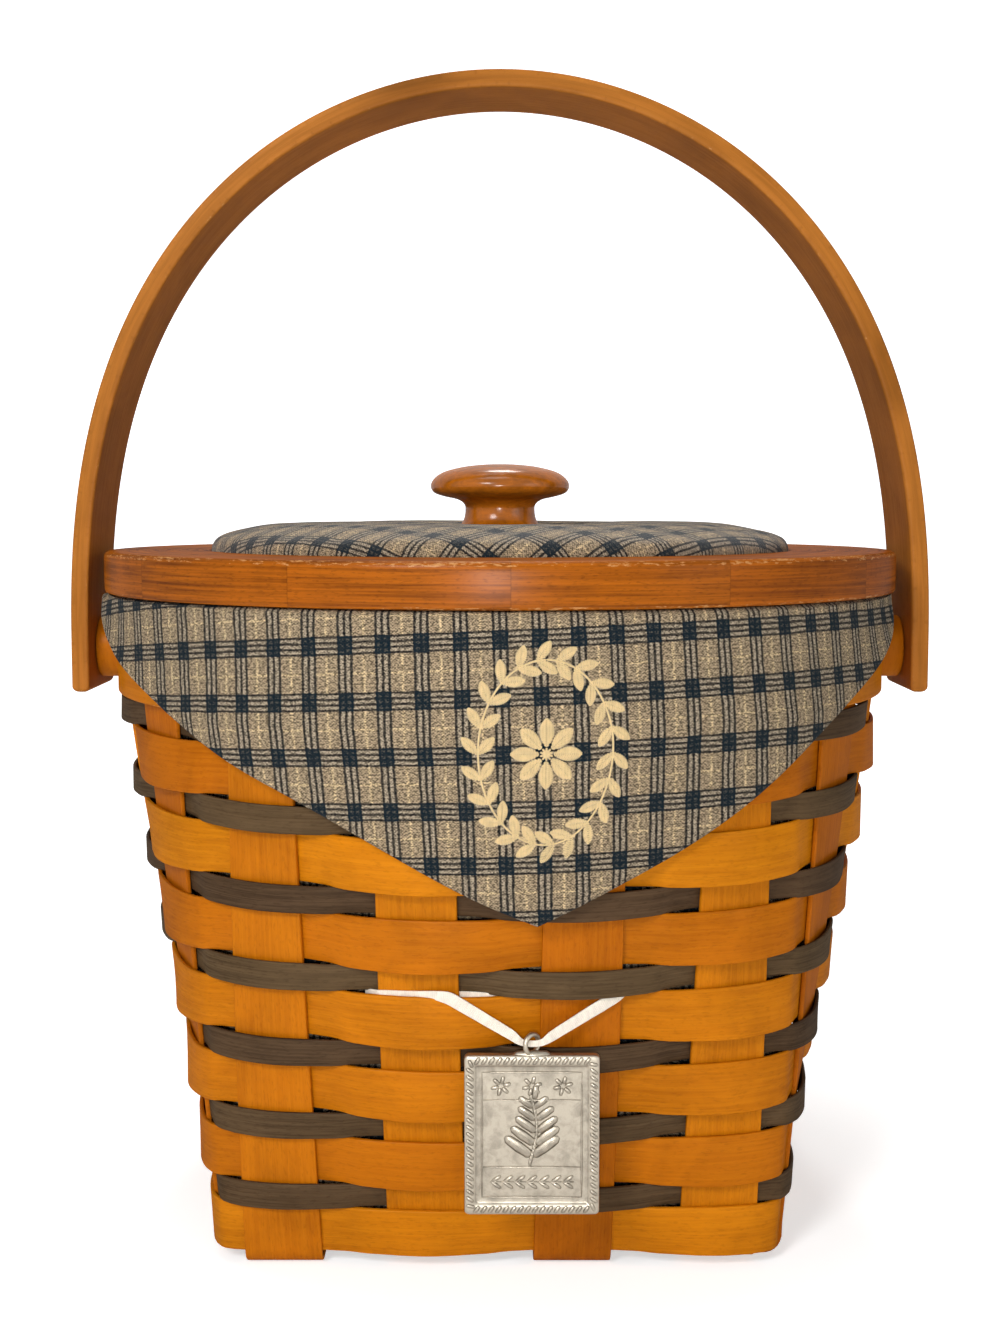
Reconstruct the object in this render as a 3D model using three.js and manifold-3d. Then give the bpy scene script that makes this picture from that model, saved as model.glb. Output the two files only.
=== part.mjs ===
/*
 * Splint basket: a square woven base that opens into a round mouth, with a swing handle,
 * a padded lid, a cloth liner folded over the rim and a metal tag on a ribbon.
 * Millimetres, +Z up, front towards -Y, origin under the middle of the base.
 */
import * as THREE from 'three';
import { mergeVertices } from 'three/addons/utils/BufferGeometryUtils.js';
import loadManifold from 'manifold-3d';

const wasm = await loadManifold();
wasm.setup();

// Clearances
const FIT = 0.3; // gap left between pieces that touch
const BORE_FIT = 0.3; // gap round a shank in its hole
const ROW_GAP = 0.25; // gap between two woven rows
const PLATEAU_EASE = 0.9; // how far a strand stays level past the strand it crosses

// Uprights: ash splints, each one running up a wall, across the base and up the far wall
const SPLINT_W = 19.05;
const SPLINT_T = 1.2;
const PER_SIDE = 4;
const SPLINT_PITCH = 35.5; // spacing across the base
const BEND = 4; // reach of the bend from base to wall

// Weavers
const WIDE_W = 12.4;
const WIDE_T = 1.1;
const DARK_W = 6.2;
const DARK_T = 1.0;
const ROWS = 7; // wide and dark rows, in pairs
const FIRST_ROW_Z = 3.8; // lower edge of the lowest wide row

// Body, measured on the middle of the wall
const BASE_HALF = 69.5;
const MOUTH_R = 101;
const FLARE_BOW = 0.4; // how far the wall bows out between base and mouth

// Rim bands
const BAND_H = 25.4;
const OUTER_BAND_T = 1.8;
const INNER_BAND_T = 2.4;
const TACK_HEAD_R = 2.2;
const TACK_HEAD_T = 0.8;
const TACK_R = 0.8;

// Handle: a bent strap whose outline is a superellipse above its pivots
const STRAP_W = 31.75;
const STRAP_T = 4.7;
const SPAN_POWER = 1.98;
const RISE_POWER = 2.46;
const HANDLE_RISE = 153; // pivot to the top of the strap
const HANDLE_DROP = 11.5; // pivot to the ends of the legs
const PIVOT_BELOW_RIM = 14.8;
const BUSHING_R = 8.5;
const BUSHING_T = 6.3;
const RIVET_R = 2.5;
const RIVET_HEAD_R = 6.5;
const RIVET_HEAD_T = 2.4;
const RIVET_TAIL_R = 3.8;
const RIVET_TAIL_T = 0.8;
const WASHER_R = 6;
const WASHER_T = 0.8;

// Cloth liner
const CLOTH_T = 0.7;
const LINER_WALL_GAP = 3.6; // from the middle of the wall to the cloth, low down
const LINER_FLOOR_EASE = 6; // how far the cloth's floor stays inside its wall
const FLAP_HALF_ANGLE = 84;
const FLAP_DROP = 71; // rim to the point of the flap
const FLAP_CORNER_DROP = 6;
const FLAP_POINT_X = 9; // the point hangs this far off the middle
const FLAP_LEAN = 0.17; // how fast the flap falls back towards the wall under the band
const FOLDS = 5;
const FOLD_DEPTH = 1.2;

// Lid
const RING_OVERHANG = 3.25; // how far the lid stands out past the outer band
const RING_H = 10.8;
const RING_W = 28.2;
const RING_EASE = 1; // worn upper edges
const BOARD_T = 3;
const BOARD_REBATE = 5.8; // how far the board reaches under the ring
const LIP_DEPTH = 7;
const LIP_T = 3;
const LIP_FIT = 0.5;
const PAD_CROWN = 7.8; // pad above the ring
const PAD_FULLNESS = 9; // how square the pad's shoulder is
const KNOB_R = 19.1;
const KNOB_NECK_R = 9.6;
const KNOB_FOOT_R = 10.8;
const KNOB_H = 16.8;
const KNOB_SINK = 1.6; // how far the knob pulls the pad down
const SCREW_R = 2;
const SCREW_HEAD_R = 4.5;
const SCREW_HEAD_T = 1.4;
const SCREW_DEPTH = 10.8; // bite in the knob

// Tag and ribbon
const TAG_W = 31.4;
const TAG_H = 38;
const TAG_T = 2.2;
const TAG_CORNER = 2.4;
const TAG_RIM_W = 2.6;
const TAG_RIM_T = 0.6; // how far the border stands proud
const TAG_X = 7.4;
const LOOP_R = 2.8;
const LOOP_HOLE_R = 1.8;
const LOOP_LEN = 2.4;
const RIBBON_W = 3.2;
const RIBBON_GATHERED_W = 2.2;
const RIBBON_T = 0.5;
const RIBBON_SAG = 8.6; // tuck points to the loop
const TAG_ROW = 4; // the row pair that the ribbon is tucked into

// Places that follow from the sizes
const SIDES = 4;
const UPRIGHTS = SIDES * PER_SIDE;
const SIDE_TURN = (2 * Math.PI) / SIDES;
const ROW_PITCH = WIDE_W + DARK_W + 2 * ROW_GAP;
const BAND_Z = FIRST_ROW_Z + ROWS * ROW_PITCH;
const RIM_Z = BAND_Z + BAND_H;
const LOW_Z = SPLINT_T / 2;
const HIGH_Z = LOW_Z + SPLINT_T + FIT;
const PLATEAU = SPLINT_W / 2 + PLATEAU_EASE;
const WIDE_OFF = SPLINT_T / 2 + FIT + WIDE_T / 2;
const DARK_OFF = SPLINT_T / 2 + FIT + DARK_T / 2;
const WEAVE_OUT = Math.max(WIDE_OFF + WIDE_T / 2, DARK_OFF + DARK_T / 2);
const OUTER_BAND_IN = Math.hypot(MOUTH_R + SPLINT_T / 2, SPLINT_W / 2) + FIT;
const OUTER_BAND_R = OUTER_BAND_IN + OUTER_BAND_T;
const INNER_BAND_R = MOUTH_R - SPLINT_T / 2 - FIT;
const INNER_BAND_IN = INNER_BAND_R - INNER_BAND_T;
const PIVOT_Z = RIM_Z - PIVOT_BELOW_RIM;
const HANDLE_IN = OUTER_BAND_R + BUSHING_T + 2 * FIT;
const HANDLE_HALF = HANDLE_IN + STRAP_T;
const WASHER_SEAT = Math.sqrt(INNER_BAND_IN ** 2 - WASHER_R ** 2) - FIT;
const RIVET_TAIL_X = WASHER_SEAT - WASHER_T - FIT;
const LINER_R = RIVET_TAIL_X - RIVET_TAIL_T - FIT;
const LINER_FLOOR_Z = HIGH_Z + SPLINT_T / 2 + FIT;
const FLAP_R = OUTER_BAND_R + TACK_HEAD_T + 2 * FIT;
const FLAP_Z = RIM_Z + FIT + CLOTH_T;
const LID_Z = FLAP_Z + FIT;
const RING_TOP = LID_Z + RING_H;
const RING_R = OUTER_BAND_R + RING_OVERHANG;
const RING_IN = RING_R - RING_W;
const BOARD_R = RING_IN + BOARD_REBATE;
const PAD_R = RING_IN - FIT;
const PAD_Z = LID_Z + BOARD_T + FIT;
const PAD_TOP = RING_TOP + PAD_CROWN;
const LIP_R = LINER_R - CLOTH_T - LIP_FIT;
const KNOB_Z = PAD_TOP - KNOB_SINK + FIT;
const SCREW_HOLE_R = SCREW_R + BORE_FIT;
const TUCK_Z = FIRST_ROW_Z + (TAG_ROW - 1) * ROW_PITCH + WIDE_W - RIBBON_W / 2 - 2 * ROW_GAP;
const TAG_LOOP_Z = TUCK_Z - RIBBON_SAG;
const RIBBON_OUT = SPLINT_T / 2 + 2 * FIT + RIBBON_T / 2;
const RIBBON_OVER = WEAVE_OUT + FIT + RIBBON_T / 2;

// Finishes
const FINISH = {
  splint: { color: 0xc8843a, roughness: 0.45, metalness: 0 },
  wide: { color: 0xd08a30, roughness: 0.45, metalness: 0 },
  dark: { color: 0x4b3c2d, roughness: 0.55, metalness: 0 },
  band: { color: 0xc27c32, roughness: 0.45, metalness: 0 },
  handle: { color: 0xb87a38, roughness: 0.4, metalness: 0 },
  lidWood: { color: 0xa8652c, roughness: 0.4, metalness: 0 },
  board: { color: 0xb99563, roughness: 0.7, metalness: 0 },
  cloth: { color: 0x8d8371, roughness: 0.95, metalness: 0 },
  brass: { color: 0xb08d4c, roughness: 0.35, metalness: 1 },
  steel: { color: 0x9a9a98, roughness: 0.35, metalness: 1 },
  pewter: { color: 0xa39f96, roughness: 0.4, metalness: 1 },
  ribbon: { color: 0xece2d2, roughness: 0.6, metalness: 0 },
};

const basket = new THREE.Group();

/** Adds a named mesh to a group. */
function add(parent, name, geometry, finish) {
  const mesh = new THREE.Mesh(geometry, new THREE.MeshStandardMaterial(FINISH[finish]));
  mesh.name = name;
  parent.add(mesh);
  return mesh;
}

const vec = (x, y, z) => new THREE.Vector3(x, y, z);

/** Merges shared corners, drops empty triangles and turns the faces outwards. */
function closed(geometry) {
  const bare = new THREE.BufferGeometry();
  bare.setAttribute('position', geometry.getAttribute('position').clone());
  if (geometry.index) bare.setIndex(geometry.index.clone());
  const merged = mergeVertices(bare, 1e-4);
  const index = merged.index.array;
  const p = merged.getAttribute('position');
  const kept = [];
  let volume = 0;
  const [a, b, c] = [vec(), vec(), vec()];
  for (let i = 0; i < index.length; i += 3) {
    const [i0, i1, i2] = [index[i], index[i + 1], index[i + 2]];
    if (i0 === i1 || i1 === i2 || i2 === i0) continue;
    kept.push(i0, i1, i2);
    a.fromBufferAttribute(p, i0);
    b.fromBufferAttribute(p, i1);
    c.fromBufferAttribute(p, i2);
    volume += a.dot(b.cross(c));
  }
  if (volume < 0) kept.reverse();
  merged.setIndex(kept);
  merged.computeVertexNormals();
  return merged;
}

/** Closed solid through rings of points, either a closed loop of rings or capped at both ends. */
function loft(rings, isLoop = false) {
  const n = rings[0].length;
  const position = rings.flat().flatMap((q) => [q.x, q.y, q.z]);
  const index = [];
  const spans = isLoop ? rings.length : rings.length - 1;
  for (let i = 0; i < spans; i += 1) {
    const a = i * n;
    const b = ((i + 1) % rings.length) * n;
    for (let j = 0; j < n; j += 1) {
      const k = (j + 1) % n;
      // Opposite faces share their diagonal, so that a twisted strip keeps its thickness.
      if (2 * j < n) index.push(a + j, b + j, b + k, a + j, b + k, a + k);
      else index.push(a + j, b + j, a + k, b + j, b + k, a + k);
    }
  }
  if (!isLoop) {
    const last = (rings.length - 1) * n;
    for (let j = 1; j < n - 1; j += 1) {
      index.push(0, j, j + 1);
      index.push(last, last + j + 1, last + j);
    }
  }
  const geometry = new THREE.BufferGeometry();
  geometry.setAttribute('position', new THREE.Float32BufferAttribute(position, 3));
  geometry.setIndex(index);
  return closed(geometry);
}

/** Solid of revolution about Z from a profile of [radius, z], closed unless it ends on the axis. */
function turned(profile, segments) {
  const points = profile.map(([r, z]) => new THREE.Vector2(r, z));
  const onAxis = profile[0][0] === 0 && profile[profile.length - 1][0] === 0;
  if (!onAxis) points.push(points[0].clone());
  return closed(new THREE.LatheGeometry(points, segments).rotateX(Math.PI / 2));
}

/** Points the axis of a turned piece along a direction in the XY plane and sets its start. */
function alongRadius(geometry, angle, radius, z) {
  return geometry
    .rotateY(Math.PI / 2)
    .translate(radius, 0, z)
    .rotateZ(angle);
}

function toManifold(geometry) {
  const vertProperties = new Float32Array(geometry.getAttribute('position').array);
  const triVerts = new Uint32Array(geometry.index.array);
  return new wasm.Manifold(new wasm.Mesh({ numProp: 3, vertProperties, triVerts }));
}

function fromManifold(solid) {
  const mesh = solid.getMesh();
  const geometry = new THREE.BufferGeometry();
  geometry.setAttribute('position', new THREE.Float32BufferAttribute(mesh.vertProperties, 3));
  geometry.setIndex([...mesh.triVerts]);
  return closed(geometry);
}

function cut(geometry, cutters) {
  return fromManifold(cutters.reduce((s, c) => s.subtract(toManifold(c)), toManifold(geometry)));
}

function join(geometries) {
  return fromManifold(geometries.map(toManifold).reduce((s, g) => s.add(g)));
}

/** Share of the way from the square base to the round mouth at a height. */
function flare(z) {
  const v = THREE.MathUtils.clamp(z / BAND_Z, 0, 1);
  return v + FLARE_BOW * v * (1 - v);
}

/** Middle of upright k at a height, with the direction across it; k counts round from front left. */
function upright(k, z) {
  const side = Math.floor(k / PER_SIDE);
  const place = (k % PER_SIDE) - (PER_SIDE - 1) / 2;
  const fan = (place * SIDE_TURN) / PER_SIDE;
  const g = flare(z);
  const x = THREE.MathUtils.lerp(place * SPLINT_PITCH, MOUTH_R * Math.sin(fan), g);
  const y = THREE.MathUtils.lerp(-BASE_HALF, -MOUTH_R * Math.cos(fan), g);
  const turn = side * SIDE_TURN;
  const up = vec(0, 0, 1);
  return {
    center: vec(x, y, z).applyAxisAngle(up, turn),
    across: vec(1, 0, 0).applyAxisAngle(up, turn + fan * g),
  };
}

/** Stations round the wall: two on each upright and some in each gap, more at the corners. */
const STATIONS = [];
for (let k = 0; k < UPRIGHTS; k += 1) {
  STATIONS.push({ k, edge: -1 }, { k, edge: 1 });
  const isCorner = k % PER_SIDE === PER_SIDE - 1;
  const steps = isCorner ? 4 : 2;
  for (let i = 1; i < steps; i += 1) STATIONS.push({ k, gap: i / steps });
}

/** Point on the middle of the wall at a station and height, with the direction out of the wall. */
function wallPoint(station, z) {
  const { center, across } = upright(station.k, z);
  if (station.edge) {
    return {
      point: center.addScaledVector(across, station.edge * PLATEAU),
      out: vec(across.y, -across.x, 0),
    };
  }
  const next = upright((station.k + 1) % UPRIGHTS, z);
  const a = center.addScaledVector(across, PLATEAU);
  const b = next.center.addScaledVector(next.across, -PLATEAU);
  const span = a.distanceTo(b);
  const u = station.gap;
  const point = a.clone().lerp(b, u);
  const bow = u * (1 - u) * span;
  point.addScaledVector(across, bow * (1 - u)).addScaledVector(next.across, -bow * u);
  const along = across.clone().lerp(next.across, u).normalize();
  return { point, out: vec(along.y, -along.x, 0) };
}

/** How far out of the wall a woven strand lies at a station; phase 1 passes outside odd uprights. */
function weaveOffset(station, offset, phase) {
  const here = station.k % 2 === phase % 2 ? offset : -offset;
  return station.edge ? here : here * (1 - 2 * station.gap);
}

/** One woven row: a flat strand that runs in and out round all the uprights. */
function weaver(zLow, width, thickness, offset, phase) {
  const rings = STATIONS.map((station) => {
    const off = weaveOffset(station, offset, phase);
    const low = wallPoint(station, zLow);
    const high = wallPoint(station, zLow + width);
    return [
      low.point.clone().addScaledVector(low.out, off - thickness / 2),
      low.point.clone().addScaledVector(low.out, off + thickness / 2),
      high.point.clone().addScaledVector(high.out, off + thickness / 2),
      high.point.clone().addScaledVector(high.out, off - thickness / 2),
    ];
  });
  return loft(rings, true);
}

/** A flat strip through stations of { center, across, width }, with its face square to its path. */
function strip(stations, thickness) {
  const last = stations.length - 1;
  const rings = stations.map(({ center, across, width }, i) => {
    const ahead = stations[Math.min(i + 1, last)].center;
    const behind = stations[Math.max(i - 1, 0)].center;
    const out = ahead.clone().sub(behind).cross(across).normalize();
    const half = across.clone().multiplyScalar(width / 2);
    const face = out.multiplyScalar(thickness / 2);
    return [
      center.clone().add(half).sub(face),
      center.clone().add(half).add(face),
      center.clone().sub(half).add(face),
      center.clone().sub(half).sub(face),
    ];
  });
  return loft(rings);
}

/** Heights where one woven row ends and the next begins. */
const ROW_EDGES = [];
for (let row = 0; row < ROWS; row += 1) {
  const wideTop = FIRST_ROW_Z + row * ROW_PITCH + WIDE_W + ROW_GAP / 2;
  ROW_EDGES.push(wideTop, wideTop + DARK_W + ROW_GAP);
}

/** One base splint: down a wall, woven across the base and up the far wall. */
function baseSplint(kA, kB, levels) {
  const a0 = upright(kA, 0);
  const outA = vec(a0.across.y, -a0.across.x, 0);
  const lateral = a0.center.clone().addScaledVector(outA, -a0.center.dot(outA));
  const wallRun = (k, levelZ, sign) => {
    const heights = [levelZ + BEND, ...ROW_EDGES, RIM_Z];
    const run = heights.map((z) => {
      const { center, across } = upright(k, z);
      return { center, across: across.multiplyScalar(sign), width: SPLINT_W };
    });
    const end = upright(k, levelZ);
    const inward = vec(-end.across.y, end.across.x, 0);
    const start = end.center.clone().addScaledVector(inward, BEND);
    const bend = new THREE.QuadraticBezierCurve3(start, end.center, run[0].center);
    const corner = [0, 0.35, 0.7].map((u) => ({
      center: bend.getPoint(u),
      across: end.across.clone().multiplyScalar(sign),
      width: SPLINT_W,
    }));
    return [...corner, ...run];
  };
  const base = [];
  levels.forEach((z, i) => {
    const middle = ((PER_SIDE - 1) / 2 - i) * SPLINT_PITCH;
    [PLATEAU, -PLATEAU].forEach((shift) => {
      const center = lateral.clone().addScaledVector(outA, middle + shift).setZ(z);
      base.push({ center, across: a0.across.clone(), width: SPLINT_W });
    });
  });
  const down = wallRun(kA, levels[0], 1).reverse();
  const up = wallRun(kB, levels[levels.length - 1], -1);
  return strip([...down, ...base, ...up], SPLINT_T);
}

// Base splints and uprights
const tackAngle = (k) => ((k - (PER_SIDE - 1) / 2) * SIDE_TURN) / PER_SIDE - Math.PI / 2;
const TACK_Z = (BAND_Z + RIM_Z) / 2;
const TACK_LEN = OUTER_BAND_R + FIT - INNER_BAND_IN;
const tacked = [...Array(UPRIGHTS).keys()].filter((k) => k % 2 === 1);
const tackHole = (k) => {
  const r = TACK_R + BORE_FIT;
  const profile = [[0, 0], [r, 0], [r, TACK_LEN + 2 * FIT], [0, TACK_LEN + 2 * FIT]];
  return alongRadius(turned(profile, 6), tackAngle(k), INNER_BAND_IN - FIT, TACK_Z);
};

for (let n = 0; n < PER_SIDE; n += 1) {
  const steps = [...Array(PER_SIDE).keys()];
  // The left-right splint n passes over the front-back splint j where n + j is even.
  const alongX = steps.map((i) => ((n + PER_SIDE - 1 - i) % 2 === 0 ? HIGH_Z : LOW_Z));
  const alongY = steps.map((i) => ((n + i) % 2 === 0 ? LOW_Z : HIGH_Z));
  const ends = {
    left_right: [PER_SIDE + n, UPRIGHTS - 1 - n, alongX],
    front_back: [n, UPRIGHTS - PER_SIDE - 1 - n, alongY],
  };
  Object.entries(ends).forEach(([name, [kA, kB, levels]]) => {
    const holes = tacked.filter((k) => k === kA || k === kB).map(tackHole);
    add(basket, `splint_${name}_${n + 1}`, cut(baseSplint(kA, kB, levels), holes), 'splint');
  });
}

// Woven rows, from the base up
for (let row = 0; row < ROWS; row += 1) {
  const wideZ = FIRST_ROW_Z + row * ROW_PITCH;
  const darkZ = wideZ + WIDE_W + ROW_GAP;
  add(basket, `weaver_wide_${row + 1}`, weaver(wideZ, WIDE_W, WIDE_T, WIDE_OFF, 1), 'wide');
  add(basket, `weaver_dark_${row + 1}`, weaver(darkZ, DARK_W, DARK_T, DARK_OFF, 0), 'dark');
}

// Rim bands, nailed through every other upright and pierced for the handle's rivets
const PIVOTS = { left: Math.PI, right: 0 };
const rivetHole = (angle, from, to) => {
  const r = RIVET_R + BORE_FIT;
  const profile = [[0, 0], [r, 0], [r, to - from], [0, to - from]];
  return alongRadius(turned(profile, 12), angle, from, PIVOT_Z);
};
const bandHoles = [
  ...tacked.map(tackHole),
  ...Object.values(PIVOTS).map((a) => rivetHole(a, INNER_BAND_IN - 2 * FIT, OUTER_BAND_R + 2 * FIT)),
];
const hoop = (inner, outer, zLow, zHigh, segments) => turned(
  [[inner, zLow], [outer, zLow], [outer, zHigh], [inner, zHigh]],
  segments,
);
const BAND_SIDES = 48;
add(basket, 'band_outer', cut(hoop(OUTER_BAND_IN, OUTER_BAND_R, BAND_Z + FIT, RIM_Z, BAND_SIDES), bandHoles), 'band');
add(basket, 'band_inner', cut(hoop(INNER_BAND_IN, INNER_BAND_R, BAND_Z + FIT, RIM_Z, BAND_SIDES), bandHoles), 'band');
tacked.forEach((k, i) => {
  const headZ = TACK_LEN;
  const profile = [
    [0, 0], [TACK_R, 0], [TACK_R, headZ], [TACK_HEAD_R, headZ],
    [TACK_HEAD_R * 0.8, headZ + TACK_HEAD_T * 0.8], [0, headZ + TACK_HEAD_T],
  ];
  const tack = alongRadius(turned(profile, 8), tackAngle(k), INNER_BAND_IN, TACK_Z);
  add(basket, `band_tack_${i + 1}`, tack, 'brass');
});

// Cloth liner: a bag inside the weave that turns over the rim
function linerProfile(station) {
  const { point: atRim } = wallPoint(station, RIM_Z);
  const round = (r, z) => atRim.clone().setZ(0).setLength(r).setZ(z);
  const floorEnd = LINER_FLOOR_Z + LINER_FLOOR_EASE;
  const side = [0, 0.35, 0.7].map((share) => {
    const { point, out } = wallPoint(station, THREE.MathUtils.lerp(floorEnd, BAND_Z, share));
    const gap = THREE.MathUtils.lerp(LINER_WALL_GAP, MOUTH_R - LINER_R, share);
    return point.addScaledVector(out, -gap);
  });
  side.push(round(LINER_R, BAND_Z));
  const low = side[0];
  const foot = low.clone().setZ(0);
  foot.setLength(foot.length() - LINER_FLOOR_EASE).setZ(LINER_FLOOR_Z);
  const inner = side.map((q) => {
    const flat = q.clone().setZ(0);
    return flat.setLength(flat.length() - CLOTH_T).setZ(q.z);
  });
  const under = RIM_Z + FIT;
  const over = under + CLOTH_T;
  return [
    vec(0, 0, LINER_FLOOR_Z), foot, ...side, round(LINER_R, under), round(OUTER_BAND_R + FIT, under),
    round(OUTER_BAND_R + FIT, over), round(LINER_R - CLOTH_T, over), ...inner.reverse(),
    foot.clone().setLength(foot.length() - CLOTH_T).setZ(LINER_FLOOR_Z + CLOTH_T),
    vec(0, 0, LINER_FLOOR_Z + CLOTH_T),
  ];
}
add(basket, 'liner_bag', loft(STATIONS.map(linerProfile), true), 'cloth');

/** Distance from the axis to the outside of the weave in a direction, measured from the front. */
function weaveRadius(angle, z) {
  const half = SIDE_TURN / 2;
  const local = Math.abs(angle) > half ? SIDE_TURN - Math.abs(angle) : angle;
  const square = BASE_HALF / Math.cos(local);
  return THREE.MathUtils.lerp(square, MOUTH_R, flare(z)) + WEAVE_OUT;
}

/** A pointed flap of cloth that hangs from the rim over the band and the weave. */
function flap() {
  const columns = 28;
  const rows = 5;
  const reach = THREE.MathUtils.degToRad(FLAP_HALF_ANGLE);
  const pointAngle = FLAP_POINT_X / FLAP_R;
  const rings = [];
  for (let i = 0; i <= columns; i += 1) {
    const u = (2 * i) / columns - 1;
    const angle = u < 0 ? pointAngle + u * (reach + pointAngle) : pointAngle + u * (reach - pointAngle);
    const drop = THREE.MathUtils.lerp(FLAP_DROP, FLAP_CORNER_DROP, Math.abs(u));
    const back = [];
    const front = [];
    for (let j = 0; j <= rows; j += 1) {
      const w = j / rows;
      const z = FLAP_Z - drop * w;
      const hang = FLAP_R - FLAP_LEAN * Math.max(0, BAND_Z - z);
      const fold = FOLD_DEPTH * w * w * (0.5 + 0.5 * Math.cos(Math.PI * FOLDS * u));
      const r = Math.max(weaveRadius(angle, z) + FIT, hang) + fold;
      const at = (radius) => vec(radius * Math.sin(angle), -radius * Math.cos(angle), z);
      back.push(at(r));
      front.push(at(r + CLOTH_T));
    }
    rings.push([...back, ...front.reverse()]);
  }
  return loft(rings);
}
add(basket, 'flap_front', flap(), 'cloth');
add(basket, 'flap_back', flap().rotateZ(Math.PI), 'cloth');

// Lid
const lid = new THREE.Group();
basket.add(lid);
const ringProfile = [
  [BOARD_R + FIT, LID_Z], [RING_R, LID_Z], [RING_R, RING_TOP - RING_EASE], [RING_R - RING_EASE, RING_TOP],
  [RING_IN, RING_TOP], [RING_IN, PAD_Z], [BOARD_R + FIT, PAD_Z],
];
add(lid, 'lid_ring', turned(ringProfile, BAND_SIDES), 'lidWood');
add(lid, 'lid_board', hoop(SCREW_HOLE_R, BOARD_R, LID_Z, LID_Z + BOARD_T, 48), 'board');
add(lid, 'lid_lip', hoop(LIP_R - LIP_T, LIP_R, LID_Z - FIT - LIP_DEPTH, LID_Z - FIT, BAND_SIDES), 'lidWood');
const padProfile = [[SCREW_HOLE_R, PAD_Z], [PAD_R - 3, PAD_Z], [PAD_R, PAD_Z + 2], [PAD_R, RING_TOP]];
const padSteps = 6;
for (let i = 1; i <= padSteps; i += 1) {
  const r = THREE.MathUtils.lerp(PAD_R, KNOB_FOOT_R + 3, (i / padSteps) ** 2);
  padProfile.push([r, RING_TOP + PAD_CROWN * Math.sqrt(1 - (r / PAD_R) ** PAD_FULLNESS)]);
}
padProfile.push([KNOB_FOOT_R, PAD_TOP - KNOB_SINK], [SCREW_HOLE_R, PAD_TOP - KNOB_SINK]);
add(lid, 'lid_pad', turned(padProfile, 32), 'cloth');
const knobProfile = [
  [0, KNOB_Z + SCREW_DEPTH], [SCREW_HOLE_R, KNOB_Z + SCREW_DEPTH], [SCREW_HOLE_R, KNOB_Z],
  [KNOB_FOOT_R, KNOB_Z], [KNOB_NECK_R, KNOB_Z + KNOB_H * 0.24], [KNOB_NECK_R + 1, KNOB_Z + KNOB_H * 0.4],
  [KNOB_R - 3, KNOB_Z + KNOB_H * 0.47], [KNOB_R, KNOB_Z + KNOB_H * 0.6], [KNOB_R - 1.6, KNOB_Z + KNOB_H * 0.78],
  [KNOB_R * 0.62, KNOB_Z + KNOB_H * 0.95], [0, KNOB_Z + KNOB_H],
];
add(lid, 'lid_knob', turned(knobProfile, 28), 'lidWood');
const screwTop = KNOB_Z + SCREW_DEPTH - FIT;
const screwHead = LID_Z - FIT;
const screwProfile = [
  [0, screwHead - SCREW_HEAD_T], [SCREW_HEAD_R, screwHead - SCREW_HEAD_T / 2], [SCREW_HEAD_R, screwHead],
  [SCREW_R, screwHead], [SCREW_R, screwTop], [0, screwTop],
];
add(lid, 'lid_screw', turned(screwProfile, 14), 'steel');

// Handle with its bushings, rivets and washers
function handleStrap() {
  const steps = 48;
  const path = [vec(HANDLE_HALF - STRAP_T / 2, 0, PIVOT_Z - HANDLE_DROP)];
  const half = HANDLE_HALF - STRAP_T / 2;
  const rise = HANDLE_RISE - STRAP_T / 2;
  for (let i = 0; i <= steps; i += 1) {
    const angle = (Math.PI * i) / steps;
    const c = Math.cos(angle);
    const s = Math.max(Math.sin(angle), 0);
    const x = half * Math.sign(c) * Math.abs(c) ** (2 / SPAN_POWER);
    path.push(vec(x, 0, PIVOT_Z + rise * s ** (2 / RISE_POWER)));
  }
  path.push(vec(-half, 0, PIVOT_Z - HANDLE_DROP));
  const across = vec(0, 1, 0);
  return strip(path.map((center) => ({ center, across, width: STRAP_W })), STRAP_T);
}
const handle = new THREE.Group();
basket.add(handle);
const legHoles = Object.values(PIVOTS).map((a) => rivetHole(a, HANDLE_IN - FIT, HANDLE_HALF + FIT));
add(handle, 'handle', cut(handleStrap(), legHoles), 'handle');

Object.entries(PIVOTS).forEach(([side, angle]) => {
  const hole = RIVET_R + BORE_FIT;
  const bushing = hoop(hole, BUSHING_R, 0, BUSHING_T, 24);
  add(basket, `bushing_${side}`, alongRadius(bushing, angle, OUTER_BAND_R + FIT, PIVOT_Z), 'lidWood');
  const washer = hoop(hole, WASHER_R, 0, WASHER_T, 20);
  add(basket, `rivet_washer_${side}`, alongRadius(washer, angle, WASHER_SEAT - WASHER_T, PIVOT_Z), 'steel');
  const tailX = RIVET_TAIL_X - RIVET_TAIL_T;
  const headX = HANDLE_HALF + FIT - tailX;
  const rivet = turned([
    [0, 0], [RIVET_TAIL_R, 0], [RIVET_TAIL_R, RIVET_TAIL_T], [RIVET_R, RIVET_TAIL_T], [RIVET_R, headX],
    [RIVET_HEAD_R, headX], [RIVET_HEAD_R * 0.75, headX + RIVET_HEAD_T * 0.7], [0, headX + RIVET_HEAD_T],
  ], 16);
  add(basket, `rivet_${side}`, alongRadius(rivet, angle, tailX, PIVOT_Z), 'brass');
});

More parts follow.
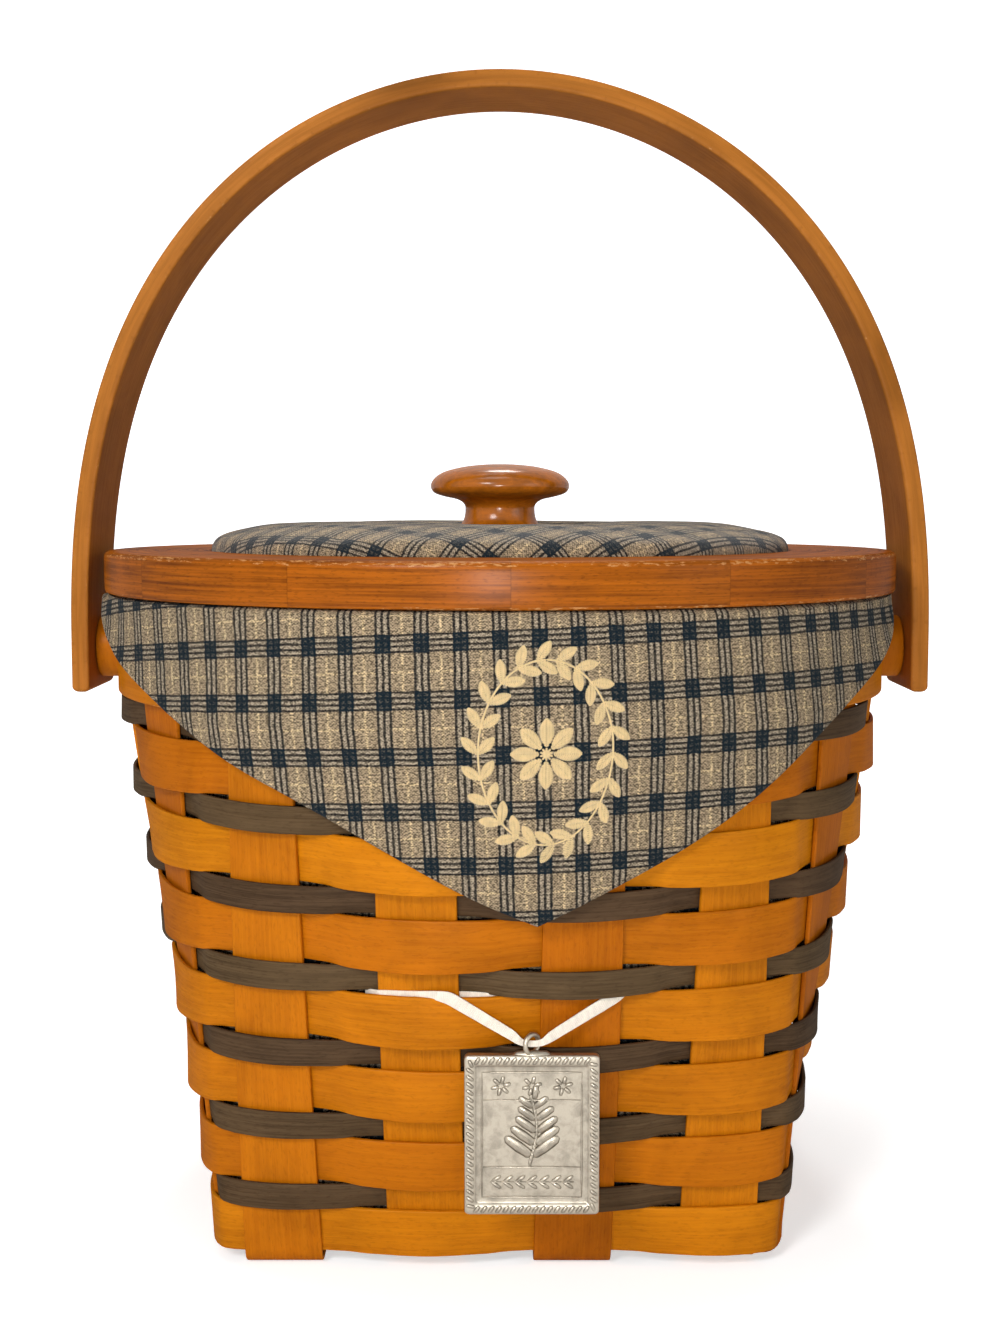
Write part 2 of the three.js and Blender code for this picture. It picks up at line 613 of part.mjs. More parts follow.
// Tag, hung by its loop so that it clears the sloping wall
const TAG_Y = -(weaveRadius(TAG_X / MOUTH_R, TAG_LOOP_Z) + FIT + LOOP_R);
function roundedRect(w, h, r) {
  const shape = new THREE.Shape();
  shape.moveTo(-w / 2 + r, -h / 2);
  shape.lineTo(w / 2 - r, -h / 2);
  shape.absarc(w / 2 - r, -h / 2 + r, r, -Math.PI / 2, 0);
  shape.lineTo(w / 2, h / 2 - r);
  shape.absarc(w / 2 - r, h / 2 - r, r, 0, Math.PI / 2);
  shape.lineTo(-w / 2 + r, h / 2);
  shape.absarc(-w / 2 + r, h / 2 - r, r, Math.PI / 2, Math.PI);
  shape.lineTo(-w / 2, -h / 2 + r);
  shape.absarc(-w / 2 + r, -h / 2 + r, r, Math.PI, 1.5 * Math.PI);
  return shape;
}
function slab(shape, depth) {
  return closed(new THREE.ExtrudeGeometry(shape, { depth, bevelEnabled: false, curveSegments: 3 }));
}
function tagSolid() {
  const frameShape = roundedRect(TAG_W, TAG_H, TAG_CORNER);
  frameShape.holes.push(roundedRect(TAG_W - 2 * TAG_RIM_W, TAG_H - 2 * TAG_RIM_W, TAG_CORNER / 2));
  const plate = slab(roundedRect(TAG_W, TAG_H, TAG_CORNER), TAG_T);
  const border = slab(frameShape, TAG_T + TAG_RIM_T);
  const upright90 = (geometry) => geometry
    .rotateX(Math.PI / 2)
    .translate(0, TAG_T / 2, -LOOP_R - TAG_H / 2 + RIBBON_T);
  const loop = hoop(LOOP_HOLE_R, LOOP_R, -LOOP_LEN / 2, LOOP_LEN / 2, 20).rotateY(Math.PI / 2);
  return join([upright90(plate), upright90(border), loop]);
}
const tag = new THREE.Group();
tag.position.set(TAG_X, TAG_Y, TAG_LOOP_Z);
basket.add(tag);
add(tag, 'tag', tagSolid(), 'pewter');

// Ribbon: tucked in beside one upright, through the tag's loop and tucked in beside the next
function ribbonStrip() {
  const left = PER_SIDE / 2 - 1;
  const right = left + 1;
  const half = SPLINT_W / 2;
  const onWall = (k, shift, z, out) => {
    const { center, across } = upright(k, z);
    const slope = upright(k, z + RIBBON_W).center.sub(center).normalize();
    const face = vec(across.y, -across.x, 0);
    center.addScaledVector(across, shift).addScaledVector(face, out);
    return { center, across: slope, width: RIBBON_W };
  };
  const atLoop = (shift, lift) => ({
    center: vec(TAG_X + shift, TAG_Y, TAG_LOOP_Z + lift),
    across: vec(0, 0, 1),
    width: RIBBON_GATHERED_W,
  });
  return strip([
    onWall(left, -half - FIT, TUCK_Z, RIBBON_OVER),
    onWall(left, 0, TUCK_Z, RIBBON_OVER),
    onWall(left, half, TUCK_Z - RIBBON_T, RIBBON_OVER),
    atLoop(-1.5 * LOOP_LEN, RIBBON_T),
    atLoop(0, 0),
    atLoop(1.5 * LOOP_LEN, RIBBON_T),
    onWall(right, -half / 2, (TAG_LOOP_Z + TUCK_Z) / 2, RIBBON_OVER),
    onWall(right, half + FIT, TUCK_Z, RIBBON_OUT),
    onWall(right, half + 2 * FIT + RIBBON_T, TUCK_Z, 0),
  ], RIBBON_T);
}
add(basket, 'tag_ribbon', ribbonStrip(), 'ribbon');

export default basket;
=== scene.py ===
"""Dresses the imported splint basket: wood, cloth, metal and ribbon round its CAD frame."""

import math
import bmesh
import bpy
import numpy as np
from bpy.props import FloatProperty, FloatVectorProperty, IntProperty, PointerProperty
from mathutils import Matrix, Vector, noise


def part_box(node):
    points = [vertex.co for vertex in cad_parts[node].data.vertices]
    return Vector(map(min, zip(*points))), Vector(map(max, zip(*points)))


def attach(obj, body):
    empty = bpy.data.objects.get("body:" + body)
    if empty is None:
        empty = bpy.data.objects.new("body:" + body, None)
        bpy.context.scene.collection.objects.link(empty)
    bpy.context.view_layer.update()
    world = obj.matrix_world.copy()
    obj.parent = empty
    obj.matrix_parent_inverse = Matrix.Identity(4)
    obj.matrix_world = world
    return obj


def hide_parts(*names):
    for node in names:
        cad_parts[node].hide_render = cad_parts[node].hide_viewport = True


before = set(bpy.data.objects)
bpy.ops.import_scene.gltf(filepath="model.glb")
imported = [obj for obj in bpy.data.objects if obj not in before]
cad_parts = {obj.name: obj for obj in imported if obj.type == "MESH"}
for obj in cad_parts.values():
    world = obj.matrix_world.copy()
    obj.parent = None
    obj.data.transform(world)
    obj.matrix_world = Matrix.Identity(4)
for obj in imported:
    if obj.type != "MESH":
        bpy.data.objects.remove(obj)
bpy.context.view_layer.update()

bl_info = {
    "name": "Splint Basket",
    "version": (1, 0, 0),
    "blender": (4, 5, 0),
    "location": "3D View > Sidebar > Basket",
    "description": "Woven splint basket with a swing handle, padded lid, cloth liner and tag",
    "category": "Object",
}

MM = 0.001
TAU = 2 * math.pi
PER_METRE = 1000.0
PHOTO_H = 1333


def corners(node):
    """Lowest and highest corner of a CAD node in millimetres."""
    low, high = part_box(node)
    return np.array(low) / MM, np.array(high) / MM


# Places read from the frame, in millimetres
FIT = 0.3
_band_low, _band_high = corners("band_outer")
_ring_low, _ring_high = corners("lid_ring")
_pad_low, _pad_high = corners("lid_pad")
_knob_low, _knob_high = corners("lid_knob")
_handle_low, _handle_high = corners("handle")
_tag_low, _tag_high = corners("tag")
_bush_low, _bush_high = corners("bushing_right")
_flap_low, _flap_high = corners("flap_front")
BAND_Z, RIM_Z, OUTER_BAND_R = _band_low[2] - FIT, _band_high[2], _band_high[0]
LID_Z, RING_TOP, RING_R = _ring_low[2], _ring_high[2], _ring_high[0]
PAD_Z, PAD_TOP, PAD_R = _pad_low[2], _pad_high[2], _pad_high[0]
KNOB_Z, KNOB_TOP, KNOB_R = _knob_low[2], _knob_high[2], _knob_high[0]
HANDLE_HALF, HANDLE_TOP, HANDLE_FOOT = _handle_high[0], _handle_high[2], _handle_low[2]
STRAP_W = _handle_high[1] - _handle_low[1]
PIVOT_Z = (_bush_low[2] + _bush_high[2]) / 2
BUSHING_R = (_bush_high[2] - _bush_low[2]) / 2
BUSHING_IN, BUSHING_OUT = _bush_low[0], _bush_high[0]
FLAP_Z, FLAP_TIP_Z = _flap_high[2], _flap_low[2]
LIP_R = corners("lid_lip")[1][0]

# The weave, in millimetres
SPLINT_W, SPLINT_T, PER_SIDE, SPLINT_PITCH = 19.05, 1.2, 4, 35.5
WIDE_W, WIDE_T, DARK_W, DARK_T = 12.4, 1.1, 6.2, 1.0
ROWS, FIRST_ROW_Z, ROW_GAP = 7, 3.8, 0.25
BASE_HALF, MOUTH_R, FLARE_BOW = 69.5, 101.0, 0.4
UPRIGHTS = 4 * PER_SIDE
ROW_PITCH = WIDE_W + DARK_W + 2 * ROW_GAP
PLATEAU = SPLINT_W / 2 + 0.9
WEAVE_OUT = SPLINT_T / 2 + FIT + WIDE_T
BASE_LOW = SPLINT_T / 2
BASE_HIGH = BASE_LOW + SPLINT_T + FIT
STRAP_T, BAND_T = 4.7, 1.8

# Cloth, in millimetres
CLOTH_T = 0.7
LINER_R = LIP_R + 0.5 + CLOTH_T
FLAP_R, FLAP_REACH, FLAP_CORNER_DROP, FLAP_POINT_X = 105.55, math.radians(84), 6.0, 9.0
FLAP_LEAN, FOLDS, FOLD_DEPTH = 0.17, 5, 1.2
FLAP_FACE_R = 106.0
FLAP_DROP = FLAP_Z - FLAP_TIP_Z

# Tag and ribbon, in millimetres
TAG_W, TAG_H, TAG_T, TAG_RIM_W, TAG_RIM_T = 31.4, 38.0, 2.2, 2.6, 0.6
LOOP_R, LOOP_WIRE, LOOP_TURN = 2.8, 0.6, math.radians(45)
TAG_X = (_tag_low[0] + _tag_high[0]) / 2
TAG_Y = _tag_high[1] - LOOP_R
TAG_LOOP_Z = _tag_high[2] - LOOP_R
RIBBON_W, RIBBON_GATHERED_W, RIBBON_TUCKED_W = 3.2, 1.5, 1.4
RIBBON_T, RIBBON_SAG = 0.5, 8.6
TUCK_Z = TAG_LOOP_Z + RIBBON_SAG
TAG_MIDDLE_Z = TAG_LOOP_Z - LOOP_R - TAG_H / 2 + RIBBON_T
TAG_BACK, TAG_FRONT = TAG_Y + TAG_T / 2, TAG_Y - TAG_T / 2
TAG_RIM = TAG_FRONT - TAG_RIM_T
TO_FRONT = (0, -1, 0)


def srgb(code):
    """Linear colour of a six-digit sRGB code."""
    parts = [int(code[i : i + 2], 16) / 255 for i in (0, 2, 4)]
    return tuple(p / 12.92 if p <= 0.04045 else ((p + 0.055) / 1.055) ** 2.4 for p in parts)


STEEL = srgb("9a9a98")


def colour_property(name, description, code):
    return FloatVectorProperty(
        name=name, description=description, subtype="COLOR", size=3, min=0, max=1, default=srgb(code)
    )


def length_property(name, description, millimetres):
    return FloatProperty(name=name, description=description, unit="LENGTH", min=0, default=millimetres * MM)


class BasketSizes(bpy.types.PropertyGroup):
    """Sizes of the dressing that leave the CAD frame as it is."""

    splint_edge: length_property("Splint edge", "Rounding along the edges of the splints", 0.32)
    weave_bulge: length_property("Weave bulge", "How far a strand swells over the upright it crosses", 1.0)
    strap_edge: length_property("Handle edge", "Rounding along the edges of the handle", 0.9)
    ring_edge: length_property("Lid edge", "Rounding of the lid ring's outer edges", 1.5)
    plaid_across: length_property("Plaid width", "Spacing of the plaid's upright stripes", 8.65)
    plaid_down: length_property("Plaid height", "Spacing of the plaid's level stripes", 12.81)
    thread: length_property("Thread", "Thickness of the embroidery thread", 0.42)
    pad_puff: length_property("Pad puff", "Most that the stuffing may push the pad's cloth", 0.8)
    wreath_leaves: IntProperty(
        name="Wreath leaves", description="Pairs of leaves sewn on the flap", default=22, min=3
    )


class BasketColours(bpy.types.PropertyGroup):
    """Colours of the finishes."""

    honey: colour_property("Honey wood", "Stained splints and wide strands", "bd6e0d")
    honey_dark: colour_property("Honey grain", "Darker grain in the honey wood", "a25706")
    walnut: colour_property("Dark strand", "Narrow dyed strands", "3b2c1d")
    walnut_light: colour_property("Dark strand grain", "Grain in the narrow dyed strands", "594530")
    cherry: colour_property("Lid wood", "Varnished lid ring and knob", "a95a0e")
    cherry_dark: colour_property("Lid grain", "Darker grain in the lid wood", "622e02")
    worn: colour_property("Worn edge", "Bare wood along worn edges", "c08b54")
    strap: colour_property("Handle wood", "Bent handle strap", "b06f2d")
    strap_dark: colour_property("Handle grain", "Darker grain in the handle", "95591f")
    ground: colour_property("Plaid ground", "Ground of the plaid cloth", "8e7d65")
    pale: colour_property("Plaid pale", "Pale bands of the plaid", "928674")
    stripe: colour_property("Plaid stripe", "Thin dark lines of the plaid", "121317")
    navy: colour_property("Plaid square", "Blue squares of the plaid", "132028")
    cream: colour_property("Plaid cream", "Thin pale cross lines of the plaid", "c4ac84")
    thread: colour_property("Embroidery", "Embroidery thread", "dcc08a")
    pewter: colour_property("Tag metal", "Cast tag", "aaa192")
    satin: colour_property("Ribbon", "Satin ribbon", "efe4d4")
    brass: colour_property("Brass", "Tacks and rivets", "b58d46")


def sizes():
    return bpy.context.scene.basket_sizes


def tint(key):
    """One of the panel's colours."""
    return tuple(getattr(bpy.context.scene.basket_colours, key))


# Node trees


class Nodes:
    """Adds and links the nodes of one tree."""

    def __init__(self, tree):
        self.tree = tree

    def put(self, socket, value):
        if isinstance(value, bpy.types.NodeSocket):
            self.tree.links.new(value, socket)
        elif socket.type == "RGBA" and len(value) == 3:
            socket.default_value = (*value, 1)
        else:
            socket.default_value = value

    def fill(self, node, values):
        for key, value in values.items():
            self.put(node.inputs[key], value)
        return node

    def add(self, kind, inputs=None, **settings):
        node = self.tree.nodes.new(kind)
        for key, value in settings.items():
            setattr(node, key, value)
        return self.fill(node, inputs or {})

    def math(self, operation, a, b=0.0, clamp=False):
        node = self.add("ShaderNodeMath", operation=operation, use_clamp=clamp)
        for socket, value in zip(node.inputs, (a, b)):
            self.put(socket, value)
        return node.outputs[0]

    def vector(self, operation, a, b=(0, 0, 0), scale=1.0):
        node = self.add("ShaderNodeVectorMath", operation=operation)
        self.put(node.inputs[0], a)
        self.put(node.inputs[1], b)
        self.put(node.inputs[3], scale)
        return node.outputs[0]

    def ramp(self, value, low, high, start=0.0, end=1.0):
        """Smooth step of a value from low to high."""
        node = self.add("ShaderNodeMapRange", interpolation_type="SMOOTHSTEP")
        limits = {"From Min": low, "From Max": high, "To Min": start, "To Max": end}
        return self.fill(node, {"Value": value, **limits}).outputs[0]

    def mix(self, factor, a, b, blend="MIX"):
        node = self.add("ShaderNodeMix", data_type="RGBA", blend_type=blend)
        for index, value in zip((0, 6, 7), (factor, a, b)):
            self.put(node.inputs[index], value)
        return node.outputs[2]

    def noise(self, vector, scale, detail=2.0, roughness=0.5, distortion=0.0):
        inputs = {"Vector": vector, "Scale": scale, "Detail": detail}
        inputs |= {"Roughness": roughness, "Distortion": distortion}
        return self.add("ShaderNodeTexNoise", inputs).outputs["Fac"]

    def group(self, tree, **inputs):
        return self.add("ShaderNodeGroup", inputs, node_tree=tree).outputs


def new_group(name, kind, inputs, outputs):
    """A node group with named sockets, and its input and output nodes."""
    tree = bpy.data.node_groups.new(name, kind)
    for direction, sockets in (("INPUT", inputs), ("OUTPUT", outputs)):
        for socket_name, socket_kind in sockets:
            tree.interface.new_socket(socket_name, in_out=direction, socket_type="NodeSocket" + socket_kind)
    nodes = Nodes(tree)
    return nodes, nodes.add("NodeGroupInput").outputs, nodes.add("NodeGroupOutput").inputs


def shared_group(name, build):
    return bpy.data.node_groups.get(name) or build(name)


def wood_grain(name):
    """Streaks, pores and blotches of wood along the first axis of a vector in metres."""
    nodes, given, out = new_group(
        name,
        "ShaderNodeTree",
        [("Vector", "Vector"), ("Along", "Float"), ("Across", "Float"), ("Seed", "Float")],
        [("Streak", "Float"), ("Pore", "Float"), ("Blotch", "Float")],
    )
    seed = nodes.math("MULTIPLY", given["Seed"], 41.0)
    shift = nodes.add("ShaderNodeCombineXYZ", {"X": seed, "Y": seed, "Z": seed}).outputs[0]
    at = nodes.vector("ADD", nodes.vector("SCALE", given["Vector"], scale=PER_METRE), shift)
    across = given["Across"]
    stretch = nodes.add("ShaderNodeCombineXYZ", {"X": given["Along"], "Y": across, "Z": across})
    along = nodes.vector("MULTIPLY", at, stretch.outputs[0])
    nodes.put(out["Streak"], nodes.noise(along, 1.0, 6.0, 0.62, 0.5))
    fine = nodes.vector("MULTIPLY", at, (0.55, 2.2, 2.2))
    nodes.put(out["Pore"], nodes.ramp(nodes.noise(fine, 1.0, 2.0, 0.55), 0.54, 0.7))
    nodes.put(out["Blotch"], nodes.noise(at, 0.045, 3.0, 0.55, 0.6))
    return nodes.tree


def plaid_weave(name):
    """Plaid of triple upright lines and fourfold level lines, over a vector in metres."""
    nodes, given, out = new_group(
        name,
        "ShaderNodeTree",
        [("Vector", "Vector"), ("Across", "Float"), ("Down", "Float")]
        + [(c, "Color") for c in ("Ground", "Pale", "Stripe", "Navy", "Cream")],
        [("Color", "Color"), ("Height", "Float")],
    )
    flat = nodes.vector("SCALE", given["Vector"], scale=PER_METRE)
    split = nodes.add("ShaderNodeSeparateXYZ", {"Vector": flat}).outputs
    waver = nodes.ramp(nodes.noise(flat, 0.2, 1.0), 0.2, 0.8, -0.1, 0.1)
    waver = nodes.math("ADD", waver, nodes.ramp(nodes.noise(flat, 2.4, 1.0), 0.2, 0.8, -0.12, 0.12))

    def centred(share, shift=0.0):
        """How far a share lies from the middle of its own unit."""
        return nodes.math("SUBTRACT", nodes.math("FRACT", nodes.math("ADD", share, 0.5 + shift)), 0.5)

    def from_stripe(value, pitch):
        share = nodes.math("DIVIDE", nodes.math("ADD", value, waver), pitch)
        return nodes.math("MULTIPLY", centred(share), pitch)

    def inside(distance, half, soft=0.1):
        return nodes.ramp(nodes.math("ABSOLUTE", distance), half + soft, half - soft)

    def comb(distance, step, shift, half):
        """Lines a step apart, the first one shifted from the stripe's middle."""
        share = centred(nodes.math("DIVIDE", distance, step), shift)
        return inside(nodes.math("MULTIPLY", share, step), half, 0.13)

    def between(distance, pitch, half):
        """A line midway between two stripes."""
        off = nodes.math("SUBTRACT", nodes.math("ABSOLUTE", distance), nodes.math("MULTIPLY", pitch, 0.5))
        return inside(off, half, 0.2)

    band_half, line_step, line_half = (1.78, 2.15), (1.46, 1.28), (0.31, 0.29)
    cream_half, thread_pitch = (0.26, 0.24), (0.74, 0.7)
    across = nodes.math("MULTIPLY", given["Across"], PER_METRE)
    down = nodes.math("MULTIPLY", given["Down"], PER_METRE)
    du, dv = from_stripe(split["X"], across), from_stripe(split["Y"], down)
    band_u, band_v = inside(du, band_half[0]), inside(dv, band_half[1])
    lines_u = nodes.math("MULTIPLY", comb(du, line_step[0], 0.0, line_half[0]), band_u)
    lines_v = nodes.math("MULTIPLY", comb(dv, line_step[1], 0.5, line_half[1]), band_v)
    cream_u, cream_v = between(du, across, cream_half[0]), between(dv, down, cream_half[1])
    warp = nodes.math("SINE", nodes.math("MULTIPLY", split["X"], TAU / thread_pitch[0]))
    weft = nodes.math("SINE", nodes.math("MULTIPLY", split["Y"], TAU / thread_pitch[1]))
    weave = nodes.math("MULTIPLY", warp, weft)
    speck = nodes.noise(nodes.vector("MULTIPLY", flat, (1.0, 1.8, 1.0)), 1.3, 3.0, 0.75)
    open_u, open_v = nodes.math("SUBTRACT", 1.0, band_u), nodes.math("SUBTRACT", 1.0, band_v)
    grain = nodes.math("ADD", nodes.math("MULTIPLY", weave, 0.3), nodes.ramp(speck, 0.38, 0.62, -0.5, 0.5))
    shade = nodes.ramp(grain, -0.6, 0.6, 0.3, 1.5)
    pale = nodes.math("MULTIPLY", nodes.math("MAXIMUM", band_u, band_v), 0.75)
    colour = nodes.mix(pale, given["Ground"], given["Pale"])
    clear = nodes.math("MULTIPLY", open_u, open_v)
    cream = nodes.math("MULTIPLY", nodes.math("MAXIMUM", cream_u, cream_v), clear)
    cream = nodes.math("MULTIPLY", cream, nodes.ramp(speck, 0.3, 0.6, 0.2, 0.75))
    colour = nodes.mix(cream, colour, given["Cream"])
    shading = nodes.add("ShaderNodeCombineXYZ", {"X": shade, "Y": shade, "Z": shade}).outputs[0]
    colour = nodes.mix(1.0, colour, shading, "MULTIPLY")
    faded = nodes.ramp(speck, 0.3, 0.62, 1.0, 0.86)
    lines = nodes.math("MULTIPLY", nodes.math("MAXIMUM", lines_u, lines_v), faded)
    colour = nodes.mix(lines, colour, given["Stripe"])
    full = nodes.ramp(grain, -0.5, 0.5, 0.98, 0.82)
    square = nodes.math("MULTIPLY", nodes.math("MULTIPLY", band_u, band_v), full)
    nodes.put(out["Color"], nodes.mix(square, colour, given["Navy"]))
    nodes.put(out["Height"], nodes.ramp(grain, -0.6, 0.6))
    return nodes.tree


def scuffs(name):
    """Where an edge is worn: patches along a mesh's own edge mask."""
    nodes, given, out = new_group(
        name,
        "ShaderNodeTree",
        [("Vector", "Vector"), ("Edge", "Float"), ("Size", "Float")],
        [("Worn", "Float")],
    )
    at = nodes.vector("SCALE", given["Vector"], scale=PER_METRE)
    patch = nodes.noise(at, given["Size"], 4.0, 0.7, 0.4)
    broad = nodes.noise(at, 0.05, 2.0)
    level = nodes.math("ADD", nodes.math("MULTIPLY", given["Edge"], 0.3), nodes.math("MULTIPLY", broad, 0.5))
    nodes.put(out["Worn"], nodes.ramp(nodes.math("ADD", level, patch), 1.07, 1.17))
    return nodes.tree


# Materials


def new_material(name):
    material = bpy.data.materials.new(name)
    material.use_nodes = True
    tree = material.node_tree
    return material, Nodes(tree), tree.nodes["Principled BSDF"]


def surface_vector(nodes, layer):
    """The piece's own layer, or its place in the frame where it has none."""
    if layer:
        return nodes.add("ShaderNodeUVMap", uv_map=layer).outputs[0]
    return nodes.add("ShaderNodeTexCoord").outputs["Object"]


def surface(nodes, shader, colour, rough, bump, plain):
    """Links a shader's colour, roughness and bump, the bump being a strength, a depth and a height."""
    strength, depth, height = bump
    raised = nodes.add("ShaderNodeBump", {"Strength": strength, "Distance": depth * MM, "Height": height})
    nodes.fill(shader, {"Base Color": colour, "Roughness": rough, "Normal": raised.outputs[0], **plain})


def point_value(nodes, key):
    return nodes.add("ShaderNodeAttribute", attribute_name=key).outputs["Fac"]


def wood(
    name,
    light,
    dark,
    *,
    along,
    across,
    roughness,
    coat=0.06,
    layer="grain",
    worn=None,
    contrast=0.6,
    stave=0,
    satin=0.34,
    spread=0.18,
):
    """Stained wood with streaks, pores, blotches, a tone of its own, stains, staves and worn edges."""
    material, nodes, shader = new_material(name)
    at = surface_vector(nodes, layer)
    tone = point_value(nodes, "tone")
    seam = None
    if stave:
        run = nodes.add("ShaderNodeSeparateXYZ", {"Vector": at}).outputs["X"]
        first_seam, gap, gap_dark = 0.213, 0.28, 0.06
        share = nodes.math("ADD", nodes.math("DIVIDE", run, stave * MM), first_seam)
        pick = nodes.add("ShaderNodeTexWhiteNoise", {"W": nodes.math("FLOOR", share)}, noise_dimensions="1D")
        tone = nodes.math("SUBTRACT", pick.outputs["Value"], 0.5)
        off = nodes.math("ABSOLUTE", nodes.math("SUBTRACT", nodes.math("FRACT", share), 0.5))
        seam = nodes.ramp(off, 0.5 - gap / stave, 0.5 - gap_dark / stave)
    tree = shared_group("Wood Grain", wood_grain)
    grain = nodes.group(tree, Vector=at, Along=along, Across=across, Seed=tone)
    colour = nodes.mix(nodes.ramp(grain["Streak"], 0.28, 0.72), dark, light)
    soft = tuple(0.45 * a + 0.55 * b for a, b in zip(dark, light))
    deep = tuple(0.5 * c for c in dark)
    evened = nodes.ramp(grain["Blotch"], 0.35, 0.7, 0.9 - 0.8 * contrast, 0.9 - 0.4 * contrast)
    colour = nodes.mix(evened, colour, soft)
    colour = nodes.mix(nodes.math("MULTIPLY", grain["Pore"], 0.3 * contrast), colour, deep)
    soaked = nodes.ramp(grain["Streak"], 0.3, 0.6, 0.45, 0.9)
    colour = nodes.mix(nodes.math("MULTIPLY", point_value(nodes, "stain"), soaked), colour, deep)
    blotch = nodes.ramp(grain["Blotch"], 0.3, 0.7, 0.88, 1.12)
    value = nodes.math("ADD", nodes.math("MULTIPLY", tone, spread), blotch)
    hue = nodes.math("ADD", nodes.math("MULTIPLY", tone, 0.034 * spread), 0.5)
    colour = nodes.add("ShaderNodeHueSaturation", {"Color": colour, "Value": value, "Hue": hue}).outputs[0]
    rough = nodes.ramp(grain["Streak"], 0.2, 0.8, roughness + 0.09, roughness - 0.05)
    if seam:
        colour = nodes.mix(nodes.math("MULTIPLY", seam, 0.25), colour, deep)
    if worn:
        nick = nodes.vector("MULTIPLY", at, (0.34, 1.25, 1.0))
        edge = point_value(nodes, "edge")
        wear = nodes.group(shared_group("Scuffs", scuffs), Vector=nick, Edge=edge, Size=1.1)["Worn"]
        colour = nodes.mix(nodes.math("MULTIPLY", wear, 0.75), colour, worn)
        rough = nodes.math("ADD", rough, nodes.math("MULTIPLY", wear, 0.2))
    height = nodes.math("SUBTRACT", grain["Streak"], nodes.math("MULTIPLY", grain["Pore"], 0.5))
    varnish = {"Coat Weight": coat, "Coat Roughness": satin, "Coat IOR": 1.8, "Specular IOR Level": 0.0}
    surface(nodes, shader, colour, rough, (0.3, 0.15, height), varnish)
    return material


def honey_wood(name, **finish):
    return wood(name, tint("honey"), tint("honey_dark"), **finish)


def plaid(name, sheen=0.04):
    material, nodes, shader = new_material(name)
    shades = {key.title(): tint(key) for key in ("ground", "pale", "stripe", "navy", "cream")}
    cloth = nodes.group(
        shared_group("Plaid Weave", plaid_weave),
        Vector=surface_vector(nodes, "cloth"),
        Across=sizes().plaid_across,
        Down=sizes().plaid_down,
        **shades,
    )
    rough = nodes.ramp(cloth["Height"], 0.0, 1.0, 0.98, 0.86)
    dull = {"Sheen Weight": sheen, "Specular IOR Level": 0.0}
    surface(nodes, shader, cloth["Color"], rough, (0.5, 0.15, cloth["Height"]), dull)
    return material


def metal(name, bright, *, roughness, tarnish=0.6, scale=0.25):
    material, nodes, shader = new_material(name)
    at = nodes.vector("SCALE", surface_vector(nodes, None), scale=PER_METRE)
    cloud = nodes.noise(at, scale, 4.0, 0.65, 0.4)
    fine = nodes.noise(at, 3.0, 3.0, 0.6)
    dull = tuple(c * tarnish for c in bright)
    # The edge mask moves the metal towards its bright colour: a painted highlight on raised edges, such as
    # the tag's rim and loop.
    edge_brightening = nodes.math("MULTIPLY", point_value(nodes, "edge"), 0.6)
    level = nodes.math("ADD", nodes.ramp(cloud, 0.25, 0.7, 0.15, 0.95), edge_brightening, clamp=True)
    rough = nodes.ramp(fine, 0.25, 0.75, roughness - 0.08, roughness + 0.14)
    surface(nodes, shader, nodes.mix(level, dull, bright), rough, (0.3, 0.12, fine), {"Metallic": 1.0})
    return material


def yarn(name, bright, *, roughness, ribs, layer=None, sheen=0.2):
    """Thread or satin, with fine ribs."""
    material, nodes, shader = new_material(name)
    at = nodes.vector("SCALE", surface_vector(nodes, layer), scale=PER_METRE)
    run = nodes.add("ShaderNodeSeparateXYZ", {"Vector": at}).outputs["X"]
    rib = nodes.math("SINE", nodes.math("MULTIPLY", run, ribs))
    cloud = nodes.noise(at, 0.6, 3.0, 0.6)
    level = nodes.math("ADD", nodes.math("MULTIPLY", rib, 0.12), nodes.ramp(cloud, 0.3, 0.7, 0.3, 0.9))
    colour = nodes.mix(level, tuple(c * 0.72 for c in bright), bright)
    rough = nodes.ramp(cloud, 0.3, 0.7, roughness - 0.06, roughness + 0.08)
    surface(nodes, shader, colour, rough, (0.4, 0.1, rib), {"Sheen Weight": sheen})
    return material


# Meshes


def new_object(name, mesh, material=None):
    piece = bpy.data.objects.new(name, mesh)
    bpy.context.scene.collection.objects.link(piece)
    if material:
        mesh.materials.append(material)
    return piece


def mesh_piece(name, points, faces, material, layers=None, values=None, merge=None, recalc=False):
    """A smooth mesh from points in millimetres, with corner layers and point values."""
    mesh = bpy.data.meshes.new(name)
    mesh.from_pydata((np.asarray(points) * MM).tolist(), [], faces)
    for layer_name, coords in (layers or {}).items():
        layer = mesh.uv_layers.new(name=layer_name)
        layer.data.foreach_set("uv", (np.asarray(coords, float).reshape(-1, 2) * MM).ravel())
    for value_name, numbers in (values or {}).items():
        attribute = mesh.attributes.new(value_name, "FLOAT", "POINT")
        attribute.data.foreach_set("value", np.asarray(numbers, np.float32).ravel())
    if merge or recalc:
        work = bmesh.new()
        work.from_mesh(mesh)
        if merge:
            bmesh.ops.remove_doubles(work, verts=work.verts, dist=merge * MM)
        if recalc:
            bmesh.ops.recalc_face_normals(work, faces=work.faces)
        work.to_mesh(mesh)
        work.free()
    mesh.shade_smooth()
    mesh.update()
    return new_object(name, mesh, material)


def grid_faces(rows, columns, wrap=False):
    """Quads of a grid stored row by row; wrap joins the last row to the first."""
    faces = []
    for i in range(rows if wrap else rows - 1):
        j = (i + 1) % rows
        for k in range(columns - 1):
            faces.append((i * columns + k, j * columns + k, j * columns + k + 1, i * columns + k + 1))
    return faces


